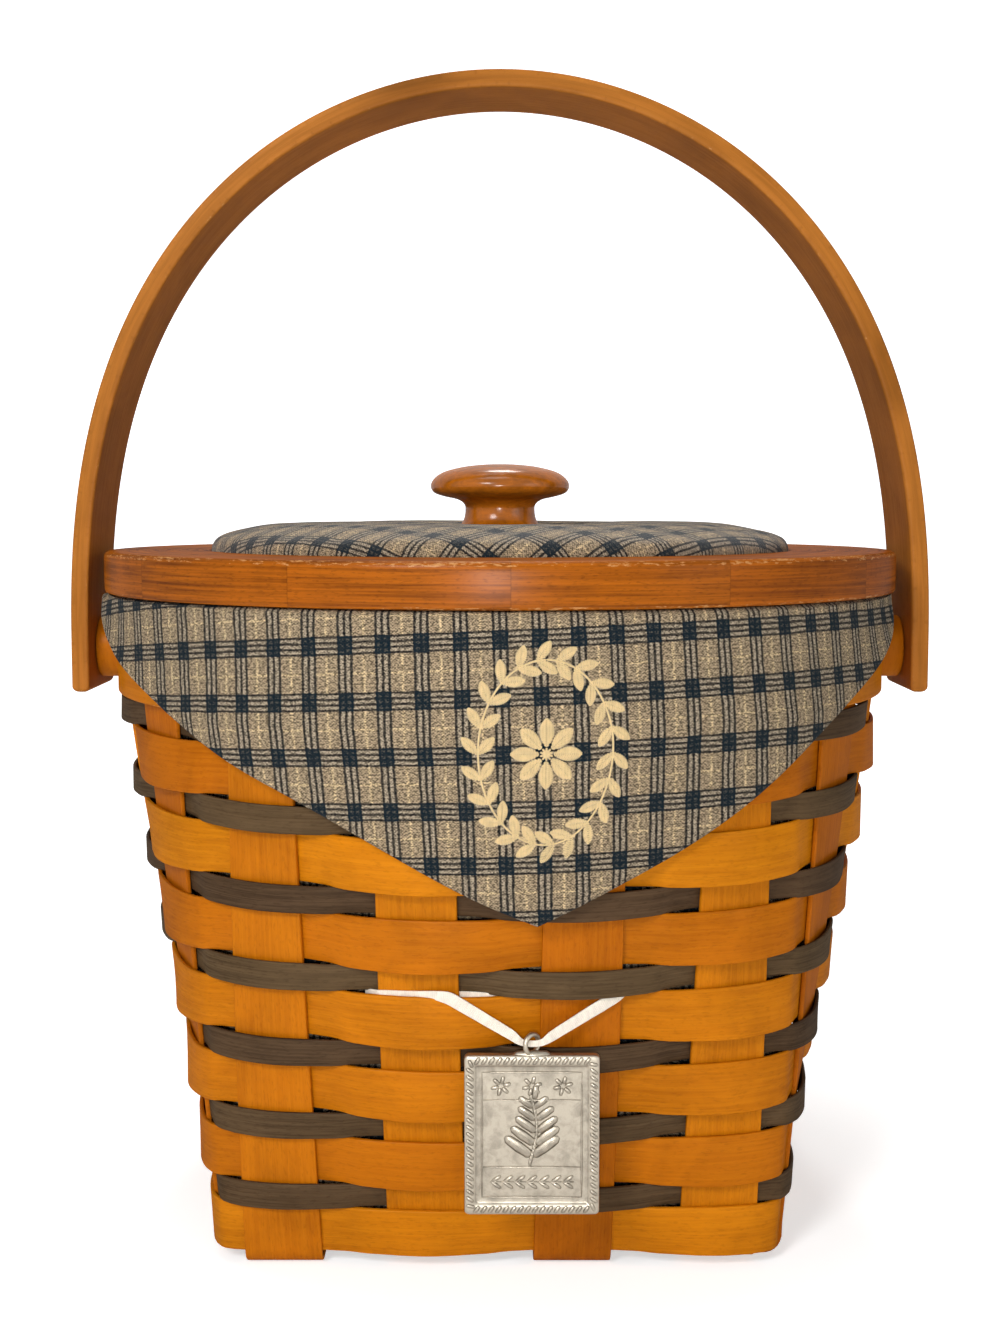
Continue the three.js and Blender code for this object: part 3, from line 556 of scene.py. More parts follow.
def tube_faces(rings, count):
    """Quads round closed rings stored one after another, and then the two end faces."""
    faces = []
    for i in range(rings - 1):
        for k in range(count):
            m = (k + 1) % count
            faces.append((i * count + k, (i + 1) * count + k, (i + 1) * count + m, i * count + m))
    last = (rings - 1) * count
    return faces + [tuple(range(count)), tuple(range(last, last + count))]


def tube_layer(faces, flat):
    """Corner layer of a tube from its points' places, with the end faces drawn to one place."""
    ends = len(faces[-2]) + len(faces[-1])
    return [flat[v] for face in faces[:-2] for v in face] + [(0, 0)] * ends


def run_of(points):
    """How far along a line each of its points lies."""
    return np.concatenate([[0], np.cumsum(np.linalg.norm(np.diff(points, axis=0), axis=1))])


def fillet(points, radii, steps=5):
    """A profile with its corners rounded."""
    count = len(points)
    points = [np.array(p, float) for p in points]
    out = []
    for i, (p, r) in enumerate(zip(points, radii)):
        a, b = points[i - 1] - p, points[(i + 1) % count] - p
        la, lb = np.linalg.norm(a), np.linalg.norm(b)
        if r <= 0:
            out.append(p)
            continue
        angle = math.acos(max(-1, min(1, a @ b / (la * lb))))
        reach = min(r / math.tan(angle / 2), 0.49 * la, 0.49 * lb)
        start, end = p + a / la * reach, p + b / lb * reach
        for t in np.linspace(0, 1, steps + 1):
            out.append((1 - t) ** 2 * start + 2 * t * (1 - t) * p + t * t * end)
    return np.array(out)


def hold(profile, near=0.9):
    """A closed profile with extra points beside the ends of its long straight runs."""
    out = []
    for a, b in zip(profile, np.roll(profile, -1, axis=0)):
        out.append(a)
        length = np.linalg.norm(b - a)
        if length > 3 * near:
            out += [a + (b - a) * near / length, b - (b - a) * near / length]
    return np.array(out)


def smooth_line(points, count):
    """Catmull-Rom curve through points."""
    points = np.asarray(points, float)
    ends = np.vstack([2 * points[0] - points[1], points, 2 * points[-1] - points[-2]])
    out = []
    for t in np.linspace(0, len(points) - 1, count):
        i = min(int(t), len(points) - 2)
        u = t - i
        a, b, c, d = ends[i : i + 4]
        bend, twist = 2 * a - 5 * b + 4 * c - d, 3 * b - a - 3 * c + d
        out.append(0.5 * (2 * b + (c - a) * u + bend * u * u + twist * u**3))
    return np.array(out)


def turned(
    name,
    profile,
    material,
    *,
    segments,
    closed=True,
    edges=None,
    axis_angle=None,
    start=0.0,
    tone=0.0,
):
    """A turned piece about Z from a profile of radius and height in millimetres."""
    profile = np.asarray(profile, float)
    ring = np.vstack([profile, profile[:1]]) if closed else profile
    count = len(ring)
    angles = np.arange(segments) * TAU / segments
    x, y = (np.outer(turn(angles), ring[:, 0]) for turn in (np.cos, np.sin))
    points = np.stack([x, y, np.tile(ring[:, 1], (segments, 1))], -1).reshape(-1, 3)
    faces = grid_faces(segments, count, wrap=True)
    run = run_of(ring)
    reach = ring[:, 0].max()
    layer = []
    for i in range(segments):
        a, b = angles[i] * reach, (angles[i] + TAU / segments) * reach
        for k in range(count - 1):
            layer += [(a, run[k]), (b, run[k]), (b, run[k + 1]), (a, run[k + 1])]
    mask = np.zeros(count) if edges is None else np.append(edges, edges[:1]) if closed else np.asarray(edges)
    values = {"edge": np.tile(mask, segments), "tone": np.full(len(points), tone)}
    if axis_angle is not None:
        axis = np.array([math.cos(axis_angle), math.sin(axis_angle), 0])
        side = np.array([-axis[1], axis[0], 0])
        x, y, z = points.T
        points = np.outer(z + start, axis) + np.outer(x, side) + np.outer(y + PIVOT_Z, (0, 0, 1))
    return mesh_piece(name, points, faces, material, {"grain": layer}, values, merge=1e-4, recalc=True)


def finish_piece(piece, body, slot, *nodes):
    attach(piece, body)
    if nodes:
        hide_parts(*nodes)


def paint(node, material):
    """Gives a CAD node that stays in view its finish."""
    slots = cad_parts[node].data.materials
    slots.clear()
    slots.append(material)


def settle(piece):
    """Turns a piece with modifiers into a plain mesh."""
    graph = bpy.context.evaluated_depsgraph_get()
    old = piece.data
    mesh = bpy.data.meshes.new_from_object(piece.evaluated_get(graph), depsgraph=graph)
    piece.modifiers.clear()
    piece.data = mesh
    mesh.name = piece.name
    bpy.data.meshes.remove(old)
    return piece


def modify(piece, kind, **settings):
    modifier = piece.modifiers.new(kind.title(), kind)
    for key, value in settings.items():
        setattr(modifier, key, value)
    return modifier


# Geometry node trees


def close_tree(nodes, geometry, given, out):
    """Ends a geometry tree with one smooth mesh in the given material."""
    whole = nodes.add("GeometryNodeRealizeInstances", {"Geometry": geometry}).outputs[0]
    whole = nodes.add("GeometryNodeSetShadeSmooth", {"Geometry": whole}).outputs[0]
    dressed = nodes.add("GeometryNodeSetMaterial", {"Geometry": whole, "Material": given["Material"]})
    nodes.put(out["Geometry"], dressed.outputs[0])
    return nodes.tree


def strand_tree(name):
    """Sweeps a flat strand with rounded edges along paths that carry their own outward side."""
    nodes, given, out = new_group(
        name,
        "GeometryNodeTree",
        [("Geometry", "Geometry"), ("Material", "Material")]
        + [(size, "Float") for size in ("Width", "Thickness", "Edge")],
        [("Geometry", "Geometry")],
    )
    path = nodes.add("GeometryNodeMeshToCurve", {"Mesh": given["Geometry"]}).outputs[0]
    side = nodes.add("GeometryNodeInputNamedAttribute", {"Name": "out"}, data_type="FLOAT_VECTOR").outputs[0]
    path = nodes.add("GeometryNodeSetCurveNormal", {"Curve": path}, mode="FREE")
    nodes.put(path.inputs["Normal"], side)
    along = nodes.add("GeometryNodeCaptureAttribute", {"Geometry": path.outputs[0]})
    along.capture_items.new("FLOAT", "Along")
    nodes.put(along.inputs["Along"], nodes.add("GeometryNodeSplineParameter").outputs["Length"])
    section = nodes.add(
        "GeometryNodeCurvePrimitiveQuadrilateral", {"Width": given["Thickness"], "Height": given["Width"]}
    ).outputs[0]
    section = nodes.add("GeometryNodeFilletCurve", {"Curve": section, "Radius": given["Edge"]}, mode="POLY")
    nodes.put(section.inputs["Count"], 3)
    across = nodes.add("GeometryNodeCaptureAttribute", {"Geometry": section.outputs[0]})
    across.capture_items.new("FLOAT", "Across")
    place = nodes.add("GeometryNodeInputPosition").outputs[0]
    nodes.put(across.inputs["Across"], nodes.add("ShaderNodeSeparateXYZ", {"Vector": place}).outputs["Y"])
    swept = nodes.add(
        "GeometryNodeCurveToMesh",
        {"Curve": along.outputs[0], "Profile Curve": across.outputs[0], "Fill Caps": True},
    ).outputs[0]
    layer = nodes.add("ShaderNodeCombineXYZ", {"X": along.outputs["Along"], "Y": across.outputs["Across"]})
    stored = nodes.add("GeometryNodeStoreNamedAttribute", data_type="FLOAT2", domain="CORNER")
    nodes.fill(stored, {"Geometry": swept, "Name": "grain", "Value": layer.outputs[0]})
    return close_tree(nodes, stored.outputs[0], given, out)


def copies_tree(name):
    """Sets a copy of one shape on each point, turned and sized by the point's own values."""
    nodes, given, out = new_group(
        name,
        "GeometryNodeTree",
        [("Geometry", "Geometry"), ("Shape", "Object"), ("Material", "Material")],
        [("Geometry", "Geometry")],
    )

    def value(key):
        named = nodes.add("GeometryNodeInputNamedAttribute", {"Name": key}, data_type="FLOAT_VECTOR")
        return named.outputs[0]

    shape = nodes.add("GeometryNodeObjectInfo", {"Object": given["Shape"]}).outputs["Geometry"]
    turn = nodes.add(
        "FunctionNodeAxesToRotation",
        {"Primary Axis": value("out"), "Secondary Axis": value("run")},
        primary_axis="Z",
        secondary_axis="X",
    ).outputs[0]
    placed = nodes.add(
        "GeometryNodeInstanceOnPoints",
        {"Points": given["Geometry"], "Instance": shape, "Rotation": turn, "Scale": value("size")},
    ).outputs[0]
    return close_tree(nodes, placed, given, out)


def set_inputs(modifier, **values):
    """Sets a node modifier's inputs by their sockets' identifiers."""
    for item in modifier.node_group.interface.items_tree:
        if item.item_type == "SOCKET" and item.in_out == "INPUT" and item.name in values:
            modifier[item.identifier] = values[item.name]


def point_cloud(name, points, edges, **vectors):
    mesh = bpy.data.meshes.new(name)
    mesh.from_pydata((np.asarray(points) * MM).tolist(), edges, [])
    for key, numbers in vectors.items():
        numbers = np.asarray(numbers, np.float32)
        kind = "FLOAT_VECTOR" if numbers.ndim == 2 else "FLOAT"
        attribute = mesh.attributes.new(key, kind, "POINT")
        attribute.data.foreach_set("vector" if numbers.ndim == 2 else "value", numbers.ravel())
    return new_object(name, mesh)


def strands(name, paths, width, thickness, edge, material):
    """One mesh of flat strands. Each path is points, outward sides and a tone."""
    points, sides, tones, edges = [], [], [], []
    for path, side, tone in paths:
        first = len(points)
        points.extend(path)
        sides.extend(side)
        tones.extend([tone] * len(path))
        edges += [(i, i + 1) for i in range(first, first + len(path) - 1)]
    piece = point_cloud(name, points, edges, out=sides, tone=tones)
    modifier = modify(piece, "NODES", node_group=shared_group("Strand", strand_tree))
    set_inputs(modifier, Width=width * MM, Thickness=thickness * MM, Edge=edge, Material=material)
    return settle(piece)


def copies(name, shape, places, material):
    """One mesh of copies of a shape, each place being a point, a run, an outward side and a size."""
    points, runs, sides, scales = (np.array(x, float) for x in zip(*places))
    piece = point_cloud(name, points, [], run=runs, out=sides, size=scales)
    modifier = modify(piece, "NODES", node_group=shared_group("Copies", copies_tree))
    set_inputs(modifier, Shape=shape, Material=material)
    bpy.context.view_layer.update()
    settle(piece)
    bpy.data.objects.remove(shape)
    return piece


# The wall of the basket


def turn_z(v, angle):
    c, s = math.cos(angle), math.sin(angle)
    return np.array([c * v[0] - s * v[1], s * v[0] + c * v[1], v[2]])


def flare(z):
    """Share of the way from the square base to the round mouth."""
    v = min(max(z / BAND_Z, 0), 1)
    return v + FLARE_BOW * v * (1 - v)


def upright(k, z):
    """Middle of upright k at a height and the direction across it; k counts round from front left."""
    k = k % UPRIGHTS
    place = (k % PER_SIDE) - (PER_SIDE - 1) / 2
    fan = place * TAU / UPRIGHTS
    g = flare(z)
    x = (1 - g) * place * SPLINT_PITCH + g * MOUTH_R * math.sin(fan)
    y = -(1 - g) * BASE_HALF - g * MOUTH_R * math.cos(fan)
    turn = (k // PER_SIDE) * TAU / 4
    return turn_z(np.array([x, y, z]), turn), turn_z(np.array([1.0, 0, 0]), turn + fan * g)


def wall(s, z):
    """Point on the middle of the wall s uprights round, and the way along it."""
    k = math.floor(s)
    (a0, across_a), (b0, across_b) = upright(k, z), upright(k + 1, z)
    a, b = a0 + across_a * PLATEAU, b0 - across_b * PLATEAU
    span = np.linalg.norm(b - a)
    d = (s - k) * (2 * PLATEAU + span)
    if d <= PLATEAU:
        return a0 + across_a * d, across_a
    if d >= PLATEAU + span:
        return b0 - across_b * (2 * PLATEAU + span - d), across_b
    u = (d - PLATEAU) / span
    bow = u * (1 - u) * span
    point = a * (1 - u) + b * u + across_a * bow * (1 - u) - across_b * bow * u
    along = across_a * (1 - u) + across_b * u
    return point, along / np.linalg.norm(along)


def ease(value, low, high):
    """Smooth step of a value between two levels."""
    t = min(max((value - low) / (high - low), 0), 1)
    return t * t * (3 - 2 * t)


def outward(along):
    return np.array([along[1], -along[0], 0.0])


def weaver_path(z_low, width, offset, phase, bulge, dip, seed):
    """A woven row from one upright at the back round to the same upright."""
    start = 10 if phase == 1 else 9
    steps, waver, lean, fullness = UPRIGHTS * 16, 0.09, 0.16, 1.4
    points, rises = [], []
    for i in range(steps + 1):
        s = start + i * (UPRIGHTS - 0.01) / steps
        z = z_low + width / 2
        point, along = wall(s, z)
        sign = 1 if math.floor(s) % 2 == phase % 2 else -1
        share = s - math.floor(s)
        arch = sign * math.cos(math.pi * share)
        crest = abs(arch) ** fullness
        swell = bulge * crest * (1 if arch > 0 else -0.4)
        lift = waver * noise.noise(Vector((s * 0.9, seed * 7.3, 0.0))) - dip * arch
        out = outward(along)
        points.append(point + out * (offset * arch + swell) + np.array([0, 0, lift]))
        rise = wall(s, z_low + width)[0] - wall(s, z_low)[0]
        rises.append(rise - out * width * lean * bulge * max(0, arch) ** fullness)
    points = np.array(points)
    along = np.gradient(points, axis=0)
    sides = np.cross(along, np.array(rises))
    return points, sides / np.linalg.norm(sides, axis=1)[:, None]


def base_splint_path(k_a, k_b, levels):
    """A base splint: down a wall, woven across the base and up the far wall."""
    start, across = upright(k_a, 0.0)
    out = outward(across)
    lateral = start - out * (start @ out)
    bend, clear_z = 4.0, 6.0

    def wall_run(k, level):
        end = upright(k, level)[0]
        inward = -outward(upright(k, level)[1])
        foot, knee = end + inward * bend, upright(k, level + bend)[0]
        run = [(1 - t) ** 2 * foot + 2 * t * (1 - t) * end + t * t * knee for t in np.linspace(0, 1, 7)[:-1]]
        return run + [upright(k, z)[0] for z in np.linspace(level + bend, RIM_Z, 44)]

    base = []
    for i, level in enumerate(levels):
        middle = ((PER_SIDE - 1) / 2 - i) * SPLINT_PITCH
        for shift in (PLATEAU, 0.0, -PLATEAU):
            point = lateral + out * (middle + shift)
            point[2] = level
            base.append(point)
    down, up = wall_run(k_a, levels[0])[::-1], wall_run(k_b, levels[-1])
    points = np.array(down + list(smooth_line(base, 64)) + up)
    along = np.gradient(points, axis=0)
    count = len(points)
    crosses = np.array([across] * count)
    for i in range(count):
        z, on_a = points[i][2], i < count / 2
        if z > clear_z:
            crosses[i] = upright(k_a, z)[1] if on_a else -upright(k_b, z)[1]
    sides = np.cross(crosses, along)
    return points, sides / np.linalg.norm(sides, axis=1)[:, None]


def build_splints():
    material = honey_wood("honey_splint", along=0.05, across=1.3, roughness=0.45, contrast=0.8)
    paths, nodes = [], []
    for n in range(PER_SIDE):
        along_x = [BASE_HIGH if (n + PER_SIDE - 1 - i) % 2 == 0 else BASE_LOW for i in range(PER_SIDE)]
        along_y = [BASE_LOW if (n + i) % 2 == 0 else BASE_HIGH for i in range(PER_SIDE)]
        ends = {
            "left_right": (PER_SIDE + n, UPRIGHTS - 1 - n, along_x),
            "front_back": (n, UPRIGHTS - PER_SIDE - 1 - n, along_y),
        }
        for key, (k_a, k_b, levels) in ends.items():
            points, sides = base_splint_path(k_a, k_b, levels)
            tone = 0.75 * math.sin(5.1 * len(paths) - 1.94) - 0.05
            paths.append((points, sides, tone))
            nodes.append(f"splint_{key}_{n + 1}")
    piece = strands("splints", paths, SPLINT_W, SPLINT_T, sizes().splint_edge, material)
    finish_piece(piece, "basket", "splint_wood", *nodes)


def build_weavers():
    size = sizes()
    cover = 0.4
    honey = honey_wood("honey_strand", along=0.05, across=1.3, roughness=0.4, contrast=0.8)
    dyed = wood(
        "dyed_strand",
        tint("walnut_light"),
        tint("walnut"),
        along=0.05,
        across=1.9,
        roughness=0.5,
        coat=0.05,
        contrast=1.0,
    )
    kinds = (
        ("weavers_wide", "weaver_wide", WIDE_W, WIDE_T, 0.0, 1, honey, "weaver_wood", 0.75),
        ("weavers_dark", "weaver_dark", DARK_W, DARK_T, WIDE_W + ROW_GAP, 0, dyed, "weaver_dark_wood", 0.8),
    )
    for name, node, width, thickness, up, phase, material, slot, spread in kinds:
        offset = SPLINT_T / 2 + FIT + thickness / 2
        paths = []
        for row in range(ROWS):
            z = FIRST_ROW_Z + row * ROW_PITCH + up
            bulge = size.weave_bulge / MM * min(1, 0.45 + 0.3 * row)
            dip = min(0.55, 0.1 + 0.3 * (row + 1 - phase))
            points, sides = weaver_path(z, width, offset, phase, bulge, dip, row + 10 * phase)
            tone = spread * math.sin(2.7 * row + phase) + 0.15
            paths.append((points, sides, tone))
        piece = strands(name, paths, width + cover, thickness, size.splint_edge, material)
        finish_piece(piece, "basket", slot, *[f"{node}_{row + 1}" for row in range(ROWS)])


def tack_angle(k):
    return (k - (PER_SIDE - 1) / 2) * TAU / UPRIGHTS - TAU / 4


def dome(name, radius, height, segments=16):
    """A low domed head that stands on the origin, one millimetre to a unit of size."""
    root = -0.4
    profile = [(0, root), (radius, root)]
    profile += [(radius * math.cos(t), height * math.sin(t)) for t in np.linspace(0, TAU / 4, 6)]
    profile[-1] = (0, height)
    return turned(name, profile, None, segments=segments, closed=False)


def build_bands():
    material = honey_wood("band_wood", along=0.03, across=0.9, roughness=0.42, worn=tint("worn"))
    inner, outer = OUTER_BAND_R - BAND_T, OUTER_BAND_R
    low, high = BAND_Z + FIT, RIM_Z
    inner_edge, outer_edge, worn = 0.3, 0.7, 0.6
    section = fillet(
        [(inner, low), (outer, low), (outer, high), (inner, high)],
        (inner_edge, outer_edge, outer_edge, inner_edge),
    )
    section = hold(section)
    mask = [1 if r > outer - worn and (z < low + worn or z > high - worn) else 0 for r, z in section]
    band = turned("band_outer_dressed", section, material, segments=192, edges=mask, tone=0.2)
    finish_piece(band, "basket", "band_wood", "band_outer")
    plain = honey_wood("band_inside", along=0.03, across=0.5, roughness=0.5, layer=None)
    paint("band_inner", plain)
    brass = metal("tack_brass", tint("brass"), roughness=0.32)
    tacked = [k for k in range(UPRIGHTS) if k % 2 == 1]
    places = []
    for k in tacked:
        a = tack_angle(k)
        side = (math.cos(a), math.sin(a), 0)
        at = np.array(side) * (OUTER_BAND_R + FIT) + np.array([0, 0, (BAND_Z + RIM_Z) / 2])
        places.append((at, (0, 0, 1), side, (1, 1, 1)))
    tack_r, tack_rise = 2.2, 0.8
    tacks = copies("band_tacks", dome("tack_shape", tack_r, tack_rise), places, brass)
    finish_piece(tacks, "basket", "brass", *[f"band_tack_{i + 1}" for i in range(len(tacked))])


# Handle


def strap_line(count):
    """Middle line of the bent handle, from the right leg's end over the top to the left."""
    span_power, rise_power = 1.98, 2.46
    half, rise = HANDLE_HALF - STRAP_T / 2, HANDLE_TOP - PIVOT_Z - STRAP_T / 2
    legs = np.linspace(HANDLE_FOOT, PIVOT_Z, 8)[:-1]
    points = [(half, 0, z) for z in legs]
    for t in np.linspace(0, math.pi, count):
        c, s = math.cos(t), max(math.sin(t), 0)
        x = half * math.copysign(abs(c) ** (2 / span_power), c)
        points.append((x, 0, PIVOT_Z + rise * s ** (2 / rise_power)))
    points += [(-half, 0, z) for z in legs[::-1]]
    return np.array(points)


def build_strap():
    """The bent strap with rounded ends, lighter corners and a few stains."""
    material = wood(
        "handle_wood",
        tint("strap"),
        tint("strap_dark"),
        along=0.03,
        across=0.9,
        roughness=0.5,
        coat=0.04,
        worn=tint("worn"),
        contrast=0.8,
    )
    line = strap_line(150)
    along = np.gradient(line, axis=0)
    along /= np.linalg.norm(along, axis=1)[:, None]
    sides = np.cross(along, np.array([0, 1.0, 0]))
    sides *= np.sign(np.sum(sides * (line - np.array([0, 0, PIVOT_Z])), axis=1))[:, None]
    edge, end_round, end_steps, clear = sizes().strap_edge / MM, 1.6, 5, 0.2
    run = run_of(line)
    total = run[-1]
    quarter = np.linspace(0, TAU / 4, end_steps + 1)
    ends = [(end_round * (1 - math.cos(t)), end_round * (1 - math.sin(t))) for t in quarter]
    samples = ends + [(d, 0.0) for d in run if end_round + clear < d < total - end_round - clear]
    samples += [(total - d, inset) for d, inset in ends[::-1]]
    half_w, half_t, far_side, beside = STRAP_W / 2, STRAP_T / 2, 40, 0.15
    rings, flat, boxes = [], [], []
    for d, inset in samples:
        centre, side = (np.array([np.interp(d, run, v[:, c]) for c in range(3)]) for v in (line, sides))
        side /= np.linalg.norm(side)
        w, t = half_w - inset, half_t - min(inset, half_t * 0.55)
        e = min(edge, t * 0.8)
        bends = fillet([(-w, -t), (w, -t), (w, t), (-w, t)], (e,) * 4, 4).reshape(4, 5, 2)
        box = []
        for here, after in zip(bends, np.roll(bends, -1, axis=0)):
            a, b = here[-1], after[0]
            box += [*here, a * (1 - beside) + b * beside, a * beside + b * (1 - beside)]
        rings.append([centre + np.array([0, a, 0]) + side * b for a, b in box])
        flat += [(d, a + (far_side if b > 0 else 0)) for a, b in box]
        boxes.append(box)
    points = np.array(rings).reshape(-1, 3)
    faces = tube_faces(len(rings), len(rings[0]))
    # The edge mask lightens the strap's corners in patches.
    near, edge_brightening = edge * 0.8, 0.62
    corner = [
        edge_brightening if abs(a) > half_w - near and abs(b) > half_t - near else 0 for a, b in boxes[len(boxes) // 2]
    ]
    stains = (((-22, -16, 297), 13, 0.9), ((104, -16, 228), 8, 0.8), ((106, -16, 216), 6, 0.6))
    stain = np.zeros(len(points))
    for spot, reach, depth in stains:
        stain += depth * np.exp(-((np.linalg.norm(points - np.array(spot), axis=1) / reach) ** 2))
    values = {"edge": np.tile(corner, len(rings)), "tone": np.zeros(len(points))}
    values["stain"] = np.clip(stain, 0, 1)
    layers = {"grain": tube_layer(faces, flat)}
    strap = mesh_piece("handle_strap", points, faces, material, layers, values, recalc=True)
    finish_piece(strap, "handle", "handle_wood", "handle")


def build_handle():
    build_strap()
    turned_wood = honey_wood("bushing_wood", along=0.08, across=0.5, roughness=0.4)
    brass = metal("rivet_brass", tint("brass"), roughness=0.3)
    steel = metal("washer_steel", STEEL, roughness=0.34)
    bore, depth = 2.8, BUSHING_OUT - BUSHING_IN
    shank_r, head_flat, head_r, head_rim, head = 2.5, 6.2, 6.5, 0.3, 2.4
    for name, angle in (("right", 0.0), ("left", math.pi)):
        section = [(bore, 0), (BUSHING_R, 0), (BUSHING_R, depth), (bore, depth)]
        section = fillet(section, (0.2, 0.8, 0.8, 0.2))
        lie = {"segments": 48, "axis_angle": angle, "start": BUSHING_IN}
        bushing = turned(f"bushing_{name}_dressed", section, turned_wood, **lie)
        finish_piece(bushing, "basket", "lid_wood", f"bushing_{name}")
        section = [(0, -STRAP_T), (shank_r, -STRAP_T), (shank_r, 0), (head_flat, 0), (head_r, 0.25)]
        for t in np.linspace(0.15, TAU / 4, 9):
            section.append((head_r * math.cos(t), head_rim + (head - head_rim) * math.sin(t)))
        section[-1] = (0, head)
        lie = {"segments": 40, "axis_angle": angle, "start": HANDLE_HALF + FIT}
        rivet = turned(f"rivet_{name}_dressed", section, brass, closed=False, **lie)
        finish_piece(rivet, "basket", "brass", f"rivet_{name}")
        paint(f"rivet_washer_{name}", steel)


# Lid


def build_lid():
    material = wood(
        "lid_wood",
        tint("cherry"),
        tint("cherry_dark"),
        along=0.018,
        across=1.1,
        roughness=0.34,
        coat=0.1,
        worn=tint("worn"),
        contrast=1.12,
        stave=51.9,
        satin=0.3,
        spread=0.14,
    )
    inner, seat, crown = PAD_R + FIT, 5.8, 0.35
    rebate = inner + seat + FIT
    top_edge = sizes().ring_edge / MM
    section = [(rebate, LID_Z), (RING_R, LID_Z), (RING_R, RING_TOP)]
    section += [(inner, RING_TOP), (inner, PAD_Z), (rebate, PAD_Z)]
    section = hold(fillet(section, (0.2, 0.8, top_edge, 0.9, 0.2, 0), 7))
    middle, reach = (RING_TOP + LID_Z) / 2, (RING_TOP - LID_Z) / 2
    for point in section:
        if point[0] > RING_R - 2:
            point[0] -= crown * ((point[1] - middle) / reach) ** 2
    mask = []
    for r, z in section:
        upper = math.hypot(r - RING_R + 0.5 * top_edge, z - RING_TOP + 0.3 * top_edge) < 0.6 * top_edge
        lower = r > RING_R - 0.8 and z < LID_Z + 0.8
        mask.append(1 if upper else 0.8 if lower else 0.4 if r > RING_R - 1 and z > RING_TOP - 4 else 0.1)
    ring = turned("lid_ring_dressed", section, material, segments=224, edges=mask)
    finish_piece(ring, "lid", "lid_wood", "lid_ring")

    rise = KNOB_TOP - KNOB_Z
    shape = (
        (10.9, 0),
        (10.0, 0.1),
        (9.6, 0.22),
        (9.8, 0.34),
        (11.6, 0.42),
        (15.2, 0.47),
        (18.1, 0.53),
        (KNOB_R, 0.63),
        (18.4, 0.75),
        (15.6, 0.87),
        (10.2, 0.955),
        (4.5, 0.993),
        (0, 1),
    )
    line = smooth_line([(r, KNOB_Z + share * rise) for r, share in shape], 70)
    line[:, 0] = np.clip(line[:, 0], 0, KNOB_R)
    line[-1] = (0, KNOB_TOP)
    profile = np.vstack([[(0, KNOB_Z)], line])
    knob_wood = wood(
        "knob_wood",
        srgb("c66e12"),
        srgb("8c4d0e"),
        along=0.16,
        across=0.35,
        roughness=0.26,
        coat=0.3,
        layer=None,
        contrast=0.9,
        satin=0.2,
    )
    knob = turned("knob_dressed", profile, knob_wood, segments=96, closed=False)
    finish_piece(knob, "lid", "lid_wood", "lid_knob")

    bare = wood(
        "lid_underside",
        srgb("c09a66"),
        srgb("9a7646"),
        along=0.02,
        across=0.4,
        roughness=0.6,
        layer=None,
    )
    for node in ("lid_board", "lid_lip"):
        paint(node, bare)
    paint("lid_screw", metal("screw_steel", STEEL, roughness=0.34))


def pad_height(r):
    """Top of the pad at a radius: a full crown with square shoulders, drawn in under the knob."""
    crown, fullness = PAD_TOP - RING_TOP - 1.3, 15
    z = RING_TOP + crown * math.sqrt(max(0, 1 - (r / PAD_R) ** fullness))
    pull = 1.9 * math.exp(-((max(0, r - 8) / 7.5) ** 2))
    return z - pull


def stuff(pad):
    """Blows the pad's cloth up against its own edge and the knob's foot, within the pad's puff."""
    start = np.empty(len(pad.data.vertices) * 3, np.float32)
    pad.data.vertices.foreach_get("co", start)
    start = start.reshape(-1, 3)
    radius = np.hypot(start[:, 0], start[:, 1]) / MM
    sewn, knob_foot, frames = 0.4, 10.5, 20
    held = (start[:, 2] / MM < RING_TOP + sewn) | (radius < knob_foot)
    group = pad.vertex_groups.new(name="held")
    group.add(np.nonzero(held)[0].tolist(), 1.0, "REPLACE")
    cloth = modify(pad, "CLOTH")
    settings = cloth.settings
    settings.quality, settings.mass = 6, 0.15
    settings.tension_stiffness = settings.compression_stiffness = 12
    settings.shear_stiffness, settings.bending_stiffness = 6, 0.8
    settings.vertex_group_mass, settings.pin_stiffness = "held", 1.0
    settings.use_pressure, settings.uniform_pressure_force = True, 2.5
    settings.effector_weights.gravity = 0.0
    cloth.collision_settings.use_collision = False
    cloth.point_cache.frame_start, cloth.point_cache.frame_end = 1, frames
    scene = bpy.context.scene
    for number in range(1, frames + 1):
        scene.frame_set(number)
    graph = bpy.context.evaluated_depsgraph_get()
    blown = np.empty(len(start) * 3, np.float32)
    pad.evaluated_get(graph).data.vertices.foreach_get("co", blown)
    moved = blown.reshape(-1, 3) - start
    length = np.linalg.norm(moved, axis=1, keepdims=True)
    limit = sizes().pad_puff
    moved *= np.tanh(length / limit) * limit / np.maximum(length, 1e-9)
    pad.modifiers.clear()
    pad.vertex_groups.clear()
    scene.frame_set(1)
    pad.data.vertices.foreach_set("co", (start + moved).ravel())
    pad.data.update()


